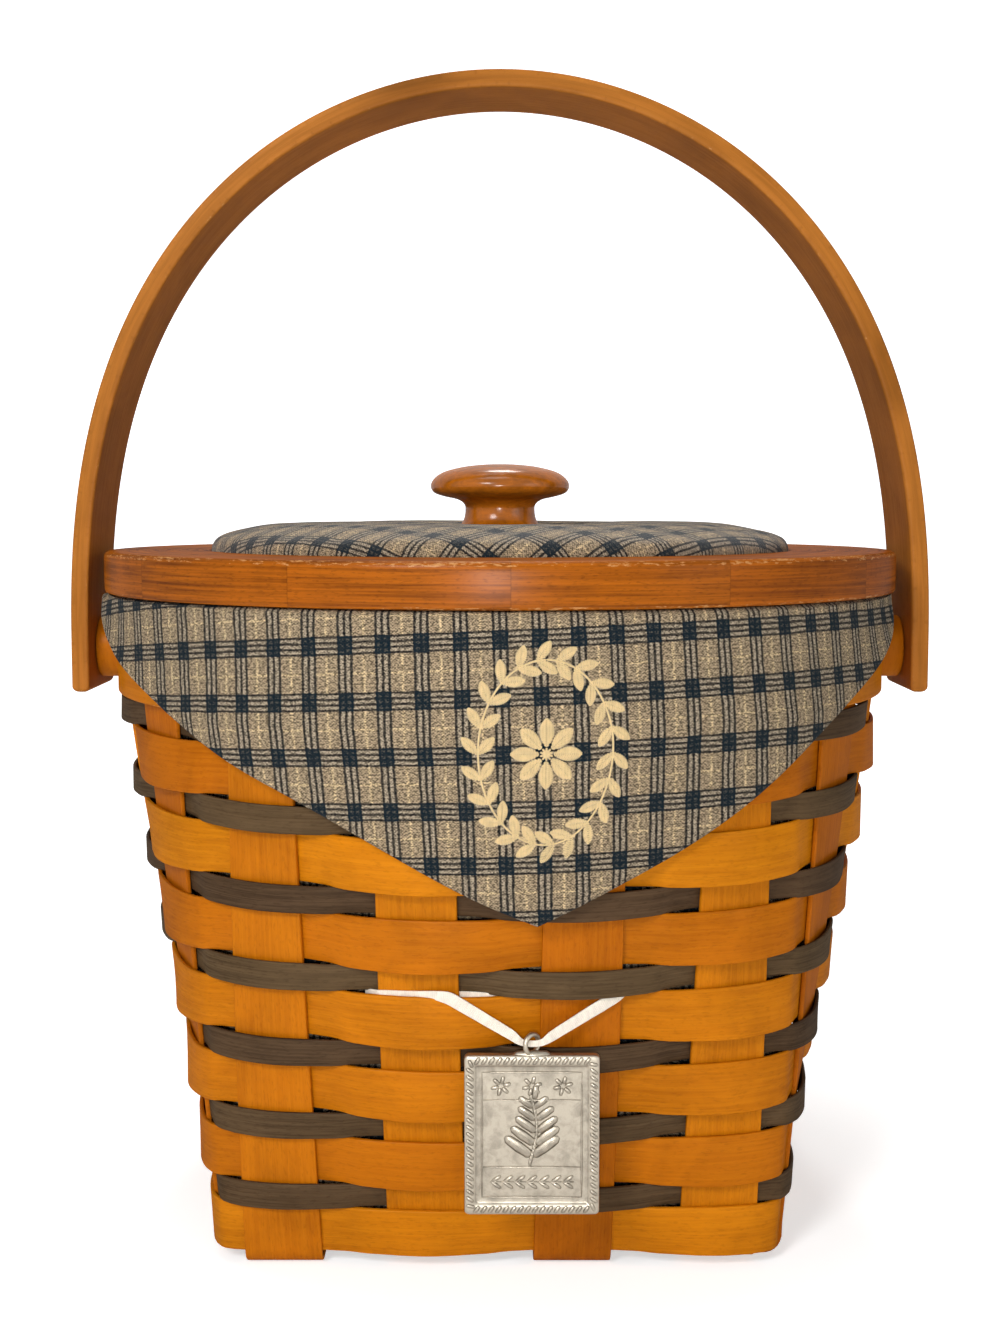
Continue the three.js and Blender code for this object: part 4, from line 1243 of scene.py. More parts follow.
def build_pad():
    rings, segments, knob_reach, turn = 56, 160, 14, math.radians(41)
    shares = np.linspace(0, 1, rings)
    radii = PAD_R * (1 - (1 - shares) ** 1.7)
    profile = [(r, pad_height(r)) for r in radii]
    profile += [(PAD_R, z) for z in np.linspace(RING_TOP, PAD_Z + 2, 6)[1:]]
    profile += [(PAD_R - 3, PAD_Z), (PAD_R * 0.5, PAD_Z), (0.0, PAD_Z)]
    profile = np.array(profile)
    run = run_of(profile)
    count = len(profile)
    angles = np.arange(segments) * TAU / segments
    points = []
    for a in angles:
        for r, z in profile:
            ripple = 0.0
            if knob_reach < r < PAD_R and z > RING_TOP:
                share = math.sin(math.pi * min(1, (r - knob_reach) / (PAD_R - knob_reach)))
                place = Vector((math.cos(a) * r * 0.035, math.sin(a) * r * 0.035, 2.0))
                ripple = 0.55 * share * noise.noise(place)
                ripple += 0.35 * math.exp(-(((r - 17) / 8) ** 2)) * math.cos(11 * a + 1.3 * math.sin(3 * a))
            points.append((r * math.cos(a), r * math.sin(a), z + ripple))
    faces = grid_faces(segments, count, wrap=True)
    layer = []
    for i in range(segments):
        a, b = angles[i], angles[i] + TAU / segments
        for k in range(count - 1):
            for angle, length in ((a, run[k]), (b, run[k]), (b, run[k + 1]), (a, run[k + 1])):
                layer.append((length * math.cos(angle + turn), length * math.sin(angle + turn)))
    cloth = plaid("pad_plaid", sheen=0.22)
    pad = mesh_piece("lid_pad_dressed", points, faces, cloth, {"cloth": layer}, merge=1e-4, recalc=True)
    stuff(pad)
    finish_piece(pad, "lid", "pad_cloth", "lid_pad")


# Liner and its flaps


def weave_radius(angle, z):
    """Distance from the axis to the outside of the weave in a direction from the front."""
    local = TAU / 4 - abs(angle) if abs(angle) > TAU / 8 else angle
    square = BASE_HALF / math.cos(local)
    g = flare(z)
    return (1 - g) * square + g * MOUTH_R + WEAVE_OUT


def flap_column(u):
    """Angle from the front and drop of the flap at a share of its width from the point."""
    hem, left_hollow, left_corner, right_hollow, least = 0.8, 5.0, 5.2, 7.4, 2.5
    middle = FLAP_POINT_X / FLAP_R
    angle = middle + u * ((FLAP_REACH + middle) if u < 0 else (FLAP_REACH - middle))
    drop = FLAP_DROP + hem + (FLAP_CORNER_DROP - FLAP_DROP) * abs(u)
    if u < 0:
        hollow = left_hollow * ease(-u, 0.05, 0.4) * (1 - ease(-u, 0.55, 0.95))
        drop -= hollow + left_corner * ease(-u, 0.45, 0.95)
    else:
        drop -= right_hollow * ease(u, 0.2, 0.62)
    return angle, max(drop, least)


def flap_radius(u, angle, drop, w):
    z = FLAP_Z - drop * w
    hang = FLAP_R - FLAP_LEAN * max(0, BAND_Z - z)
    fold = FOLD_DEPTH * w * w * (0.5 + 0.5 * math.cos(math.pi * FOLDS * u))
    loose = 1.8 * ease(-u, 0.8, 0.97) * ease(w, 0, 0.4)
    return max(weave_radius(angle, z) + FIT, hang) + fold + loose + CLOTH_T, z


def flap_at(across, down):
    """Point on the face of the flap from a place across and down it, in millimetres."""
    angle = across / FLAP_FACE_R
    middle = FLAP_POINT_X / FLAP_R
    u = (angle - middle) / ((FLAP_REACH + middle) if angle < middle else (FLAP_REACH - middle))
    drop = flap_column(u)[1]
    radius, z = flap_radius(u, angle, drop, down / drop)
    return np.array([radius * math.sin(angle), -radius * math.cos(angle), z])


def plaid_place(across, down):
    """Where the plaid lies on the flap: the cloth is turned a little and stretched towards its corners."""
    u = across - 17.2 - 0.027 * down + 2.4e-4 * across**2 - 5.4e-4 * across * down
    u -= 7.0e-6 * across**3 + 1.0e-5 * across**2 * down
    v = down - 6.1 + 0.0427 * across - 2.5e-4 * across**2 - 2.9e-4 * across * down
    return u, v


def thicken(sheet, rank, way):
    """Turns a sheet so that its first-ranked face looks a given way, thickens it and gives its area."""
    work = bmesh.new()
    work.from_mesh(sheet.data)
    work.normal_update()
    shown = max(work.faces, key=lambda face: rank(face.calc_center_median()))
    if shown.normal.dot(Vector(way)) < 0:
        bmesh.ops.reverse_faces(work, faces=work.faces)
    work.to_mesh(sheet.data)
    work.free()
    area = sum(p.area for p in sheet.data.polygons)
    modify(sheet, "SOLIDIFY", thickness=CLOTH_T * MM, offset=-1)
    settle(sheet)
    sheet.data.shade_smooth()
    return area


def flap_mesh(name, material, back=False):
    columns, rows, lip_up, lip_step = 168, 46, 1.5, 0.7
    top = [(104.5, FLAP_Z + 0.05), (105.2, FLAP_Z), (105.9, FLAP_Z - 0.5)]
    points, flat = [], []
    for i in range(columns + 1):
        u = 2 * i / columns - 1
        angle, drop = flap_column(u)
        side = np.array([math.sin(angle), -math.cos(angle), 0])
        for n, (r, z) in enumerate(top):
            points.append(side * r + np.array([0, 0, z]))
            flat.append(plaid_place(FLAP_FACE_R * angle, -lip_up + lip_step * n))
        for j in range(rows + 1):
            w = (j + 1) / (rows + 1)
            r, z = flap_radius(u, angle, drop, w)
            wave = 0.5 * w * noise.noise(Vector((angle * 3.1, z * 0.035, 4.0)))
            points.append(side * (r + max(wave, -0.2)) + np.array([0, 0, z]))
            flat.append(plaid_place(FLAP_FACE_R * angle, drop * w))
    count = rows + 1 + len(top)
    faces = grid_faces(columns + 1, count)
    points = np.array(points)
    if back:
        points[:, :2] *= -1
    layer = [flat[v] for face in faces for v in face]
    flap = mesh_piece(name, points, faces, material, {"cloth": layer})
    area = thicken(flap, lambda centre: abs(centre.y), (0, 1 if back else -1, 0))
    finish_piece(flap, "basket", "liner_cloth", "flap_back" if back else "flap_front")


def liner_profile(s):
    """The bag's inside face at one place round the wall, from the floor's middle to the rim's outside."""
    rim = wall(s, RIM_Z)[0]
    way = np.array([rim[0], rim[1], 0]) / math.hypot(rim[0], rim[1])
    floor_z = BASE_HIGH + SPLINT_T / 2 + FIT
    corner, low_gap = 6.0, 3.6
    low_z = floor_z + corner
    line = []
    for share in np.linspace(0, 0.72, 12):
        z = low_z + (BAND_Z - low_z) * share
        point, along = wall(s, z)
        gap = low_gap + (MOUTH_R - LINER_R - low_gap) * share
        point = point - outward(along) * (gap + CLOTH_T)
        pleat = 0.8 * math.sin(math.pi * share) * noise.noise(Vector((s * 1.7, z * 0.02, 9.0)))
        line.append(point - outward(along) * abs(pleat))
    inside = LINER_R - CLOTH_T
    upper = [way * inside + np.array([0, 0, z]) for z in np.linspace(BAND_Z, RIM_Z + FIT - 0.8, 4)]
    over = RIM_Z + FIT + CLOTH_T
    roll = [(inside + 0.25, over - 0.45), (inside + 0.9, over)]
    roll += [(OUTER_BAND_R - 0.6, over), (OUTER_BAND_R + FIT, over - 0.1)]
    upper += [way * r + np.array([0, 0, z]) for r, z in roll]
    low = line[0]
    centre = np.array([0, 0, floor_z + CLOTH_T])
    foot_in, heel_sag, heel_out = 6.7, 1.4, 0.18
    foot = np.array([low[0], low[1], 0])
    foot = foot * (1 - foot_in / np.linalg.norm(foot)) + centre
    heel = (foot + low) / 2 + np.array([0, 0, -heel_sag]) + (low - foot) * np.array([heel_out, heel_out, 0])
    return [centre + (foot - centre) * t for t in (0, 0.35, 0.7, 1)] + [heel] + line + upper


def build_liner():
    material = plaid("liner_plaid")
    stations = UPRIGHTS * 10
    rows = [liner_profile(i * UPRIGHTS / stations) for i in range(stations)]
    count = len(rows[0])
    points = np.array(rows).reshape(-1, 3)
    faces = grid_faces(stations, count, wrap=True)
    layer = []
    lengths = [run_of(np.array(r)) for r in rows]
    girth = TAU * LINER_R / stations
    for i in range(stations):
        for k in range(count - 1):
            for m, q in ((i, k), (i + 1, k), (i + 1, k + 1), (i, k + 1)):
                layer.append((m * girth, -lengths[m % stations][q]))
    bag = mesh_piece("liner_bag_dressed", points, faces, material, {"cloth": layer}, merge=1e-4)
    area = thicken(bag, lambda centre: -centre.z, (0, 0, 1))
    finish_piece(bag, "basket", "liner_cloth", "liner_bag")
    flap_mesh("flap_front_dressed", plaid("flap_plaid"))
    flap_mesh("flap_back_dressed", plaid("flap_back_plaid"), back=True)


def stitch_shape():
    """A short round stitch along X, one unit long and one unit thick."""
    rings = [(-0.5, 0.32), (-0.38, 0.85), (0.0, 1.0), (0.38, 0.85), (0.5, 0.32)]
    sides = 6
    points = []
    for x, r in rings:
        for t in (k * TAU / sides for k in range(sides)):
            points.append((x, 0.5 * r * math.cos(t), 0.5 * r * math.sin(t)))
    faces = []
    for i in range(len(rings) - 1):
        here, after = i * sides, (i + 1) * sides
        for k in range(sides):
            n = (k + 1) % sides
            faces.append((here + k, here + n, after + n, after + k))
    faces += [tuple(range(sides))[::-1], tuple(range(len(points) - sides, len(points)))]
    return mesh_piece("stitch_shape", points, faces, None, recalc=True)


def build_embroidery():
    """A sewn wreath of leaves round a small flower."""
    size = sizes()
    thread, probe = size.thread / MM, 0.4
    centre, reach = np.array([10.3, 31.5]), np.array([15.2, 21.0])
    places = []

    def sew(a, b, lift=0.12, thick=1.0):
        middle = (a + b) / 2
        here = flap_at(*middle)
        ahead = flap_at(*(middle + (b - a) * 0.5)) - flap_at(*(middle - (b - a) * 0.5))
        x, y = middle
        side = np.cross(
            flap_at(x + probe, y) - flap_at(x - probe, y),
            flap_at(x, y - probe) - flap_at(x, y + probe),
        )
        side /= np.linalg.norm(side)
        length = np.linalg.norm(ahead)
        scale = (length + thread * 0.6, thread * thick, thread * thick)
        places.append((here + side * lift, ahead / length, side, scale))

    def line(points, gap=1.5):
        run = run_of(points)
        for d in np.arange(0, run[-1] - gap * 0.5, gap):
            ends = [np.array([np.interp(x, run, points[:, c]) for c in (0, 1)]) for x in (d, d + gap * 1.12)]
            sew(ends[0], ends[1], thick=1.25)

    def leaf(root, way, length, width):
        normal = np.array([-way[1], way[0]])
        rows = max(6, int(length / 0.42))
        for i in range(rows):
            t = (i + 0.5) / rows
            half = width / 2 * math.sin(math.pi * t**0.8) ** 0.8
            at = root + way * length * t
            for sign in (1, -1):
                sew(at, at + normal * sign * half + way * half * 0.55, lift=0.14)

    turn = np.linspace(0, TAU, 161)
    line(centre + np.stack([np.sin(turn), -np.cos(turn)], 1) * reach)
    for i in range(size.wreath_leaves):
        t = (i + 0.5) * TAU / size.wreath_leaves
        at = centre + np.array([math.sin(t), -math.cos(t)]) * reach
        along = np.array([math.cos(t) * reach[0], math.sin(t) * reach[1]])
        along /= np.linalg.norm(along)
        away = np.array([math.sin(t) / reach[0], -math.cos(t) / reach[1]])
        away /= np.linalg.norm(away)
        for sign in (1, -1):
            way = along * 0.72 + away * 0.69 * sign
            leaf(at, way / np.linalg.norm(way), length=5.2, width=2.3)
    petals, knots = 8, 10
    for i in range(petals):
        t = i * TAU / petals
        way = np.array([math.sin(t), -math.cos(t)])
        leaf(centre + way * 1.6, way, length=6.4, width=3.2)
    for i in range(knots):
        t = i * TAU / knots
        way = np.array([math.sin(t), -math.cos(t)])
        sew(centre, centre + way * 1.4, lift=0.3, thick=1.3)
    material = yarn("embroidery_thread", tint("thread"), roughness=0.55, ribs=9.0, sheen=0.3)
    sewn = copies("flap_embroidery", stitch_shape(), places, material)
    finish_piece(sewn, "basket", None)


# Tag and ribbon


def ribbon_routes():
    """The ribbon's route through the tag's loop and back, and its turn behind an upright."""
    left, right = PER_SIDE // 2 - 1, PER_SIDE // 2
    half = SPLINT_W / 2
    face = SPLINT_T / 2 + 0.25
    over = WEAVE_OUT + FIT + RIBBON_T / 2

    def on_wall(k, shift, lift, out, width=RIBBON_TUCKED_W, lean=0.0):
        centre, across = upright(k, TUCK_Z + lift)
        slope = upright(k, TUCK_Z + lift + RIBBON_W)[0] - centre
        slope = slope / np.linalg.norm(slope) + across * lean
        return centre + across * shift + outward(across) * out, slope / np.linalg.norm(slope), width

    def at_loop(shift, lift, width=RIBBON_GATHERED_W):
        return np.array([TAG_X + shift, TAG_Y, TAG_LOOP_Z + lift]), np.array([0, 0, 1.0]), width

    hung = [
        on_wall(left, -half - 3.4, 2.0, -1.5),
        on_wall(left, -half - 1.4, 2.15, -0.3),
        on_wall(left, -half - 0.2, 2.25, 0.9 * face),
        on_wall(left, -half + 1.6, 2.35, face),
        on_wall(left, -1, 2.35, face),
        on_wall(left, 3.6, 2.5, (face + over) / 2, 2.0, 0.2),
        on_wall(left, 7.6, 2.1, over, RIBBON_W, 0.6),
        at_loop(-4.4, 1.9, 2.4),
        at_loop(-2.7, 0.3),
        at_loop(-0.9, 0),
        at_loop(0.9, 0),
        at_loop(2.7, 0.3),
        at_loop(4.4, 1.7, 2.4),
        on_wall(right, 7.8, 1.5, face + 0.5, RIBBON_W, -0.57),
        on_wall(right, 10.8, 3.6, 0.3, 2.6, -0.5),
    ]
    tucked = [
        on_wall(left, half + 9, 1.6, -1.2),
        on_wall(left, half + 6.5, 2.2, -0.4),
        on_wall(left, half + 4, 2.45, -0.1),
        on_wall(left, half + 1.4, 2.45, -0.1),
        on_wall(left, half - 1, 2.1, -face),
        on_wall(left, half - 5, 2.0, -face),
    ]
    return hung, tucked


def ribbon_run(name, stations, material):
    """A flat strip along stations of place, way across and width; gives the piece and its middle line."""
    knots = np.array([s[0] for s in stations])
    run = run_of(knots)
    marks = np.linspace(0, run[-1], round(2.4 * run[-1]))

    def blend(values):
        values = np.array(values, float).reshape(len(stations), -1)
        return np.stack([np.interp(marks, run, values[:, c]) for c in range(values.shape[1])], 1)

    line, across, width = (blend([s[c] for s in stations]) for c in range(3))
    for values in (line, across, width):
        for _ in range(8):
            values[1:-1] = (values[:-2] + 2 * values[1:-1] + values[2:]) / 4
    along = np.gradient(line, axis=0)
    along /= np.linalg.norm(along, axis=1)[:, None]
    across -= along * np.sum(across * along, axis=1)[:, None]
    across /= np.linalg.norm(across, axis=1)[:, None]
    out = np.cross(along, across)
    section = fillet([(-0.5, -0.5), (0.5, -0.5), (0.5, 0.5), (-0.5, 0.5)], (0.12,) * 4, 2)
    rings = []
    for i in range(len(line)):
        cup = 0.1 * math.sin(i * 0.35)
        lift = [b * RIBBON_T * 0.7 + cup * (a * a - 0.1) for a, b in section]
        rings.append([line[i] + across[i] * a * width[i] + out[i] * c for (a, _), c in zip(section, lift)])
    faces = tube_faces(len(line), len(section))
    layer = tube_layer(faces, [(mark, a) for mark in marks for a, _ in section])
    points = np.array(rings).reshape(-1, 3)
    return mesh_piece(name, points, faces, material, {"grain": layer}, recalc=True), line


def build_ribbon():
    material = yarn(
        "ribbon_satin", tint("satin"), roughness=0.42, ribs=14.0, layer="grain", sheen=0.35
    )
    hung, tucked = ribbon_routes()
    turn, _ = ribbon_run("ribbon_turn", tucked, material)
    finish_piece(turn, "basket", "ribbon")
    ribbon, line = ribbon_run("ribbon", hung, material)
    finish_piece(ribbon, "basket", "ribbon", "tag_ribbon")


def rounded_outline(w, h, r, steps=6):
    return fillet([(-w / 2, -h / 2), (w / 2, -h / 2), (w / 2, h / 2), (-w / 2, h / 2)], (r,) * 4, steps)


def tag_plate(pewter):
    """The plate: its back, its rounded rim and its sunk face, ring by ring."""
    inset = TAG_RIM_W
    # The third number of each ring is its edge mask, which brightens the pewter: a painted highlight,
    # strongest on the raised rim.
    steps = (
        (0.5, TAG_BACK, 0.4),
        (0.12, TAG_BACK - 0.12, 0.4),
        (0.0, TAG_BACK - 0.5, 0.4),
        (0.0, TAG_RIM + 0.55, 0.6),
        (0.18, TAG_RIM + 0.16, 1.0),
        (0.6, TAG_RIM, 1.0),
        (inset - 0.7, TAG_RIM, 1.0),
        (inset - 0.2, TAG_RIM + 0.14, 1.0),
        (inset, TAG_RIM + 0.45, 0.0),
        (inset + 0.35, TAG_FRONT - 0.02, 0.0),
        (inset + 1.2, TAG_FRONT, 0.1),
        (inset + 4.0, TAG_FRONT, 0.35),
        (inset + 8.0, TAG_FRONT, 0.5),
    )
    rings, mask = [], []
    for shrink, y, edge in steps:
        outline = rounded_outline(TAG_W - 2 * shrink, TAG_H - 2 * shrink, max(1.2 - shrink * 0.3, 0.4))
        rings.append([(TAG_X + x, y, TAG_MIDDLE_Z + z) for x, z in outline])
        mask += [edge] * len(outline)
    points = np.array(rings).reshape(-1, 3)
    faces = tube_faces(len(rings), len(rings[0]))
    plate = mesh_piece("tag_plate", points, faces, pewter, values={"edge": mask}, recalc=True)
    finish_piece(plate, "tag", "pewter", "tag")


def tag_loop(pewter):
    """The cast eye that the ribbon passes through."""
    sides, wire, loop_r = 40, 12, LOOP_R - LOOP_WIRE
    c, d = math.cos(LOOP_TURN), math.sin(LOOP_TURN)
    points, faces = [], []
    for t in np.linspace(0, TAU, sides, endpoint=False):
        for w in (s * TAU / wire for s in range(wire)):
            r = loop_r + LOOP_WIRE * math.cos(w)
            flat, side = r * math.cos(t), LOOP_WIRE * math.sin(w)
            x, y = TAG_X + flat * d + side * c, TAG_Y + flat * c - side * d
            points.append((x, y, TAG_LOOP_Z + r * math.sin(t)))
    for i in range(sides):
        j = (i + 1) % sides
        for s in range(wire):
            n = (s + 1) % wire
            faces.append((i * wire + s, j * wire + s, j * wire + n, i * wire + n))
    # An edge mask of one all round brightens the whole loop: a painted highlight.
    ring = mesh_piece("tag_loop", points, faces, pewter, values={"edge": np.ones(len(points))}, recalc=True)
    finish_piece(ring, "tag", "pewter")


def tag_border(pewter):
    """The rope round the rim and the collar under the loop."""
    outline = rounded_outline(TAG_W - TAG_RIM_W, TAG_H - TAG_RIM_W, 1.6)
    closed = np.vstack([outline, outline[:1]])
    run = run_of(closed)
    beads, step, bead, collar = 74, 0.3, (2.1, 1.0, 0.7), (9.0, 2.4, 2.6)

    def at(d):
        return np.array([np.interp(d % run[-1], run, closed[:, c]) for c in (0, 1)])

    places = []
    for i in range(beads):
        d = (i + 0.5) * run[-1] / beads
        x, z = at(d)
        ahead = at(d + step) - at(d - step)
        ahead /= np.linalg.norm(ahead)
        lean = np.array([ahead[0] * 0.6 - ahead[1] * 0.8, 0, ahead[1] * 0.6 + ahead[0] * 0.8])
        places.append(((TAG_X + x, TAG_RIM, TAG_MIDDLE_Z + z), lean, TO_FRONT, bead))
    foot = (TAG_X, (TAG_BACK + TAG_RIM) / 2, TAG_MIDDLE_Z + TAG_H / 2 - 0.3)
    places.append((foot, (1, 0, 0), (0, 0, 1), collar))
    rope = copies("tag_rope_border", stitch_shape(), places, pewter)
    finish_piece(rope, "tag", "pewter")


def tag_sprig(pewter):
    """Cast relief in a frame of bars: three flowers, a sprig and a braid."""
    places = []

    def leaf(x, z, angle, length, width):
        way = np.array([math.cos(angle), 0, math.sin(angle)])
        at = np.array([TAG_X + x, TAG_FRONT + 0.05, TAG_MIDDLE_Z + z]) + way * length * 0.5
        places.append((at, way, TO_FRONT, (length, width, 1.0)))

    def bar(x, z, angle, length, width=0.55, high=0.7):
        way = np.array([math.cos(angle), 0, math.sin(angle)])
        at = np.array([TAG_X + x, TAG_FRONT, TAG_MIDDLE_Z + z])
        places.append((at, way, TO_FRONT, (length, width, high)))

    level, standing, margin = 0.0, TAU / 4, 1.5
    half_w, half_h = TAG_W / 2 - TAG_RIM_W - margin, TAG_H / 2 - TAG_RIM_W - margin
    for side in (1, -1):
        bar(side * half_w, 0, standing, 2 * half_h)
        bar(0, side * half_h, level, 2 * half_w)
    upper, lower = half_h - 6.6, -half_h + 7.2
    for z in (upper, lower):
        bar(0, z, level, 2 * half_w)
    petals, flower_gap, flower_r, flower_turn = 6, 7.2, 0.5, 0.26
    for x in (-flower_gap, 0, flower_gap):
        for i in range(petals):
            angle = i * TAU / petals + flower_turn
            up = (upper + half_h) / 2 + flower_r * math.sin(angle)
            leaf(x + flower_r * math.cos(angle), up, angle, 1.9, 1.1)
    braid_z = (lower - half_h) / 2
    for i in range(7):
        x = -8.4 + i * 2.8
        for angle in (0.6, -0.6):
            leaf(x - 1.0, braid_z, angle, 2.7, 1.05)
        bar(x, braid_z, level, 2.9, 0.5, 0.6)
    sway, sway_step, pair_gap, first_pair = 1.1, 0.7, 2.9, 2.6
    for i in range(5):
        z = lower + first_pair + i * pair_gap
        bend = sway * math.sin(i * sway_step)
        reach, broad = 7.8 - 0.9 * i, 2.9 - 0.24 * i
        for vein in (math.radians(36), math.radians(144)):
            leaf(bend, z, vein, reach, broad)
            x, up = bend + reach * 0.5 * math.cos(vein), z + reach * 0.5 * math.sin(vein)
            bar(x, up, vein, reach * 0.8, 0.28, 1.25)
    leaf(0.6, lower + 16.2, math.radians(84), 3.4, 1.7)
    for i in range(19):
        z = lower + 0.9 + i * 0.86
        bend = sway * math.sin((z - lower - first_pair) / pair_gap * sway_step)
        leaf(bend, z - 0.7, math.radians(88), 1.8, 0.85)
    relief = copies("tag_sprig", stitch_shape(), places, pewter)
    finish_piece(relief, "tag", "pewter")


def build_tag():
    pewter = metal("tag_pewter", tint("pewter"), roughness=0.36, tarnish=0.5, scale=0.4)
    for part in (tag_plate, tag_loop, tag_border, tag_sprig):
        part(pewter)


# Stage


def area_light(name, at, aim_z, power, size):
    """A round lamp that looks at a height on the basket's axis."""
    lamp = bpy.data.lights.new(name, "AREA")
    lamp.energy, lamp.size, lamp.shape = power, size, "DISK"
    light = bpy.data.objects.new(name, lamp)
    bpy.context.scene.collection.objects.link(light)
    light.location = at
    light.visible_camera = False
    light.rotation_euler = (Vector((0, 0, aim_z)) - Vector(at)).to_track_quat("-Z", "Y").to_euler()


def seen_directly(nodes):
    """One for the camera, for reflections and for what is seen through glass."""
    path = nodes.add("ShaderNodeLightPath").outputs
    seen = nodes.math("MAXIMUM", path["Is Camera Ray"], path["Is Glossy Ray"])
    return nodes.math("MAXIMUM", seen, path["Is Transmission Ray"])


def build_camera():
    distance, height, pitch, focal = 0.5, 0.1879, math.radians(5.22), 1801
    data = bpy.data.cameras.new("camera")
    data.sensor_width = 36
    data.lens = focal / PHOTO_H * data.sensor_width
    data.clip_start, data.clip_end = 0.01, 20
    camera = bpy.data.objects.new("camera", data)
    bpy.context.scene.collection.objects.link(camera)
    camera.location = (0, -distance, height)
    camera.rotation_euler = (math.pi / 2 - pitch, 0, 0)
    bpy.context.scene.camera = camera


def build_stage():
    scene = bpy.context.scene
    scene.view_settings.view_transform = "Standard"
    world = bpy.data.worlds.new("studio")
    scene.world = world
    world.use_nodes = True
    nodes = Nodes(world.node_tree)
    shell = world.node_tree.nodes["Background"]
    nodes.put(shell.inputs["Color"], (1, 1, 1))
    nodes.put(shell.inputs["Strength"], nodes.ramp(seen_directly(nodes), 0, 1, 0.18, 1.0))

    material, nodes, shader = new_material("studio_floor")
    at = surface_vector(nodes, None)
    reach = nodes.add("ShaderNodeVectorMath", {0: at}, operation="LENGTH").outputs["Value"]
    away = nodes.ramp(reach, 0.25, 0.95, 0.5, 1.0)
    finish = {
        "Base Color": nodes.mix(nodes.noise(at, 3.0, 2.0), (0.86, 0.86, 0.855), (0.88, 0.88, 0.875)),
        "Roughness": 0.9,
        "Specular IOR Level": 0.1,
        "Emission Color": (1, 1, 1),
        "Emission Strength": nodes.math("MULTIPLY", seen_directly(nodes), away),
    }
    nodes.fill(shader, finish)
    span, depth, bend, top = 4.0, 1.6, 0.5, 3.2
    quarter = np.linspace(0, TAU / 4, 16)[1:]
    line = [(-span, 0), (depth - bend, 0)]
    line += [(depth - bend + bend * math.sin(t), bend - bend * math.cos(t)) for t in quarter]
    line += [(depth, top)]
    points = [(x, y, z) for y, z in line for x in (-span, span)]
    faces = [(2 * i, 2 * i + 1, 2 * i + 3, 2 * i + 2) for i in range(len(line) - 1)]
    floor = mesh_piece("studio_sweep", np.array(points) / MM, faces, material)

    lights = (
        ("key", (-0.36, -0.86, 0.62), 0.14, 5.7, 0.28),
        ("flash", (-0.02, -0.66, 0.17), 0.14, 1.35, 0.07),
        ("fill", (0.95, -0.7, 0.4), 0.13, 1.6, 0.6),
        ("top", (-0.1, 0.1, 1.2), 0.15, 5.2, 0.6),
        ("back", (0.02, 0.8, 1.05), 0.14, 3.6, 0.22),
    )
    for light in lights:
        area_light(*light)


class BasketStep(bpy.types.Operator):
    """One step of the basket's dressing."""

    bl_idname = "basket.step"
    bl_label = "Basket step"
    bl_options = {"REGISTER", "UNDO"}

    def execute(self, context):
        self.make()
        return {"FINISHED"}


class BasketCamera(BasketStep):
    """Sets the camera that looks at the basket's front."""

    bl_idname = "basket.camera"
    bl_label = "Camera"
    make = staticmethod(build_camera)


class BasketRibbon(BasketStep):
    """Makes the ribbon that the tag hangs on."""

    bl_idname = "basket.ribbon"
    bl_label = "Ribbon"
    make = staticmethod(build_ribbon)


class BasketSplints(BasketStep):
    """Makes the base splints that turn up into the uprights."""

    bl_idname = "basket.splints"
    bl_label = "Splints"
    make = staticmethod(build_splints)


class BasketWeavers(BasketStep):
    """Makes the wide and the dark woven rows."""

    bl_idname = "basket.weavers"
    bl_label = "Woven rows"
    make = staticmethod(build_weavers)


class BasketBands(BasketStep):
    """Makes the rim band and its tacks."""

    bl_idname = "basket.bands"
    bl_label = "Rim bands"
    make = staticmethod(build_bands)


class BasketHandle(BasketStep):
    """Makes the bent handle, its bushings and rivets."""

    bl_idname = "basket.handle"
    bl_label = "Handle"
    make = staticmethod(build_handle)


class BasketLid(BasketStep):
    """Makes the lid ring and the knob."""

    bl_idname = "basket.lid"
    bl_label = "Lid"
    make = staticmethod(build_lid)


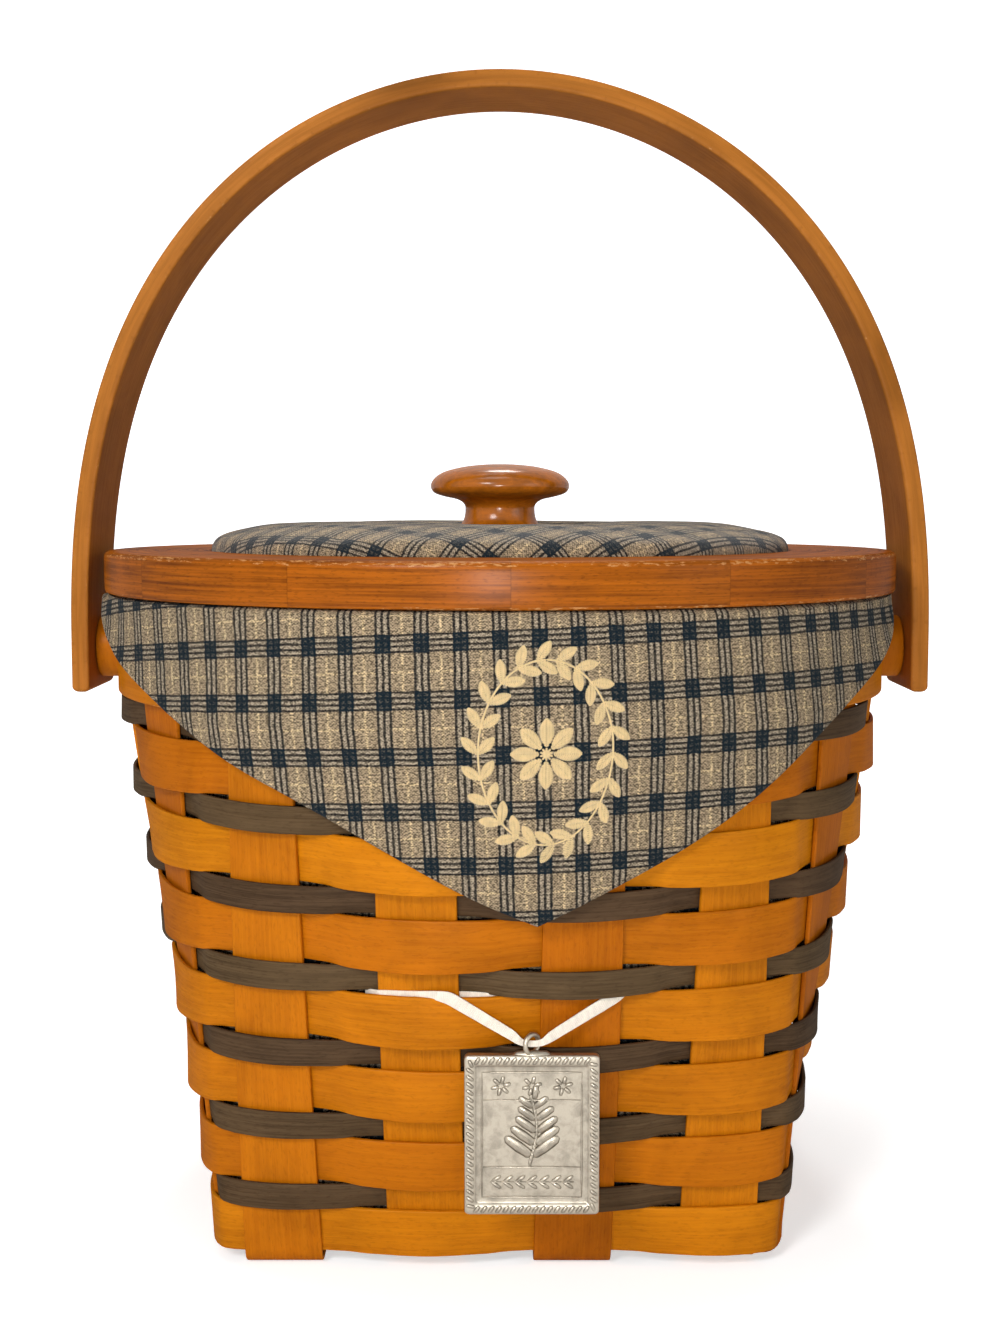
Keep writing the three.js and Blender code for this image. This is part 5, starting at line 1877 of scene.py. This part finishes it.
class BasketPad(BasketStep):
    """Makes the stuffed pad of the lid."""

    bl_idname = "basket.pad"
    bl_label = "Lid pad"
    make = staticmethod(build_pad)


class BasketLiner(BasketStep):
    """Makes the liner bag and its two flaps."""

    bl_idname = "basket.liner"
    bl_label = "Liner"
    make = staticmethod(build_liner)


class BasketEmbroidery(BasketStep):
    """Sews the wreath on the front flap."""

    bl_idname = "basket.embroidery"
    bl_label = "Embroidery"
    make = staticmethod(build_embroidery)


class BasketTag(BasketStep):
    """Makes the cast tag with its rope border and sprig."""

    bl_idname = "basket.tag"
    bl_label = "Tag"
    make = staticmethod(build_tag)


class BasketStage(BasketStep):
    """Makes the floor, the backdrop and the lights."""

    bl_idname = "basket.stage"
    bl_label = "Stage"
    make = staticmethod(build_stage)


STEPS = (
    BasketCamera,
    BasketRibbon,
    BasketSplints,
    BasketWeavers,
    BasketBands,
    BasketHandle,
    BasketLid,
    BasketPad,
    BasketLiner,
    BasketEmbroidery,
    BasketTag,
    BasketStage,
)


class BasketPanel(bpy.types.Panel):
    """Lists the steps, sizes and colours."""

    bl_idname = "VIEW3D_PT_basket"
    bl_label = "Splint Basket"
    bl_space_type = "VIEW_3D"
    bl_region_type = "UI"
    bl_category = "Basket"

    def draw(self, context):
        for step in STEPS:
            self.layout.operator(step.bl_idname)
        for group in (context.scene.basket_sizes, context.scene.basket_colours):
            box = self.layout.box()
            for key in group.__annotations__:
                box.prop(group, key)


CLASSES = (BasketSizes, BasketColours, *STEPS, BasketPanel)


def register():
    for cls in CLASSES:
        bpy.utils.register_class(cls)
    bpy.types.Scene.basket_sizes = PointerProperty(type=BasketSizes)
    bpy.types.Scene.basket_colours = PointerProperty(type=BasketColours)


def unregister():
    del bpy.types.Scene.basket_colours
    del bpy.types.Scene.basket_sizes
    for cls in reversed(CLASSES):
        bpy.utils.unregister_class(cls)


def main():
    register()
    for step in STEPS:
        family, action = step.bl_idname.split(".")
        getattr(getattr(bpy.ops, family), action)()


if __name__ == "__main__":
    main()
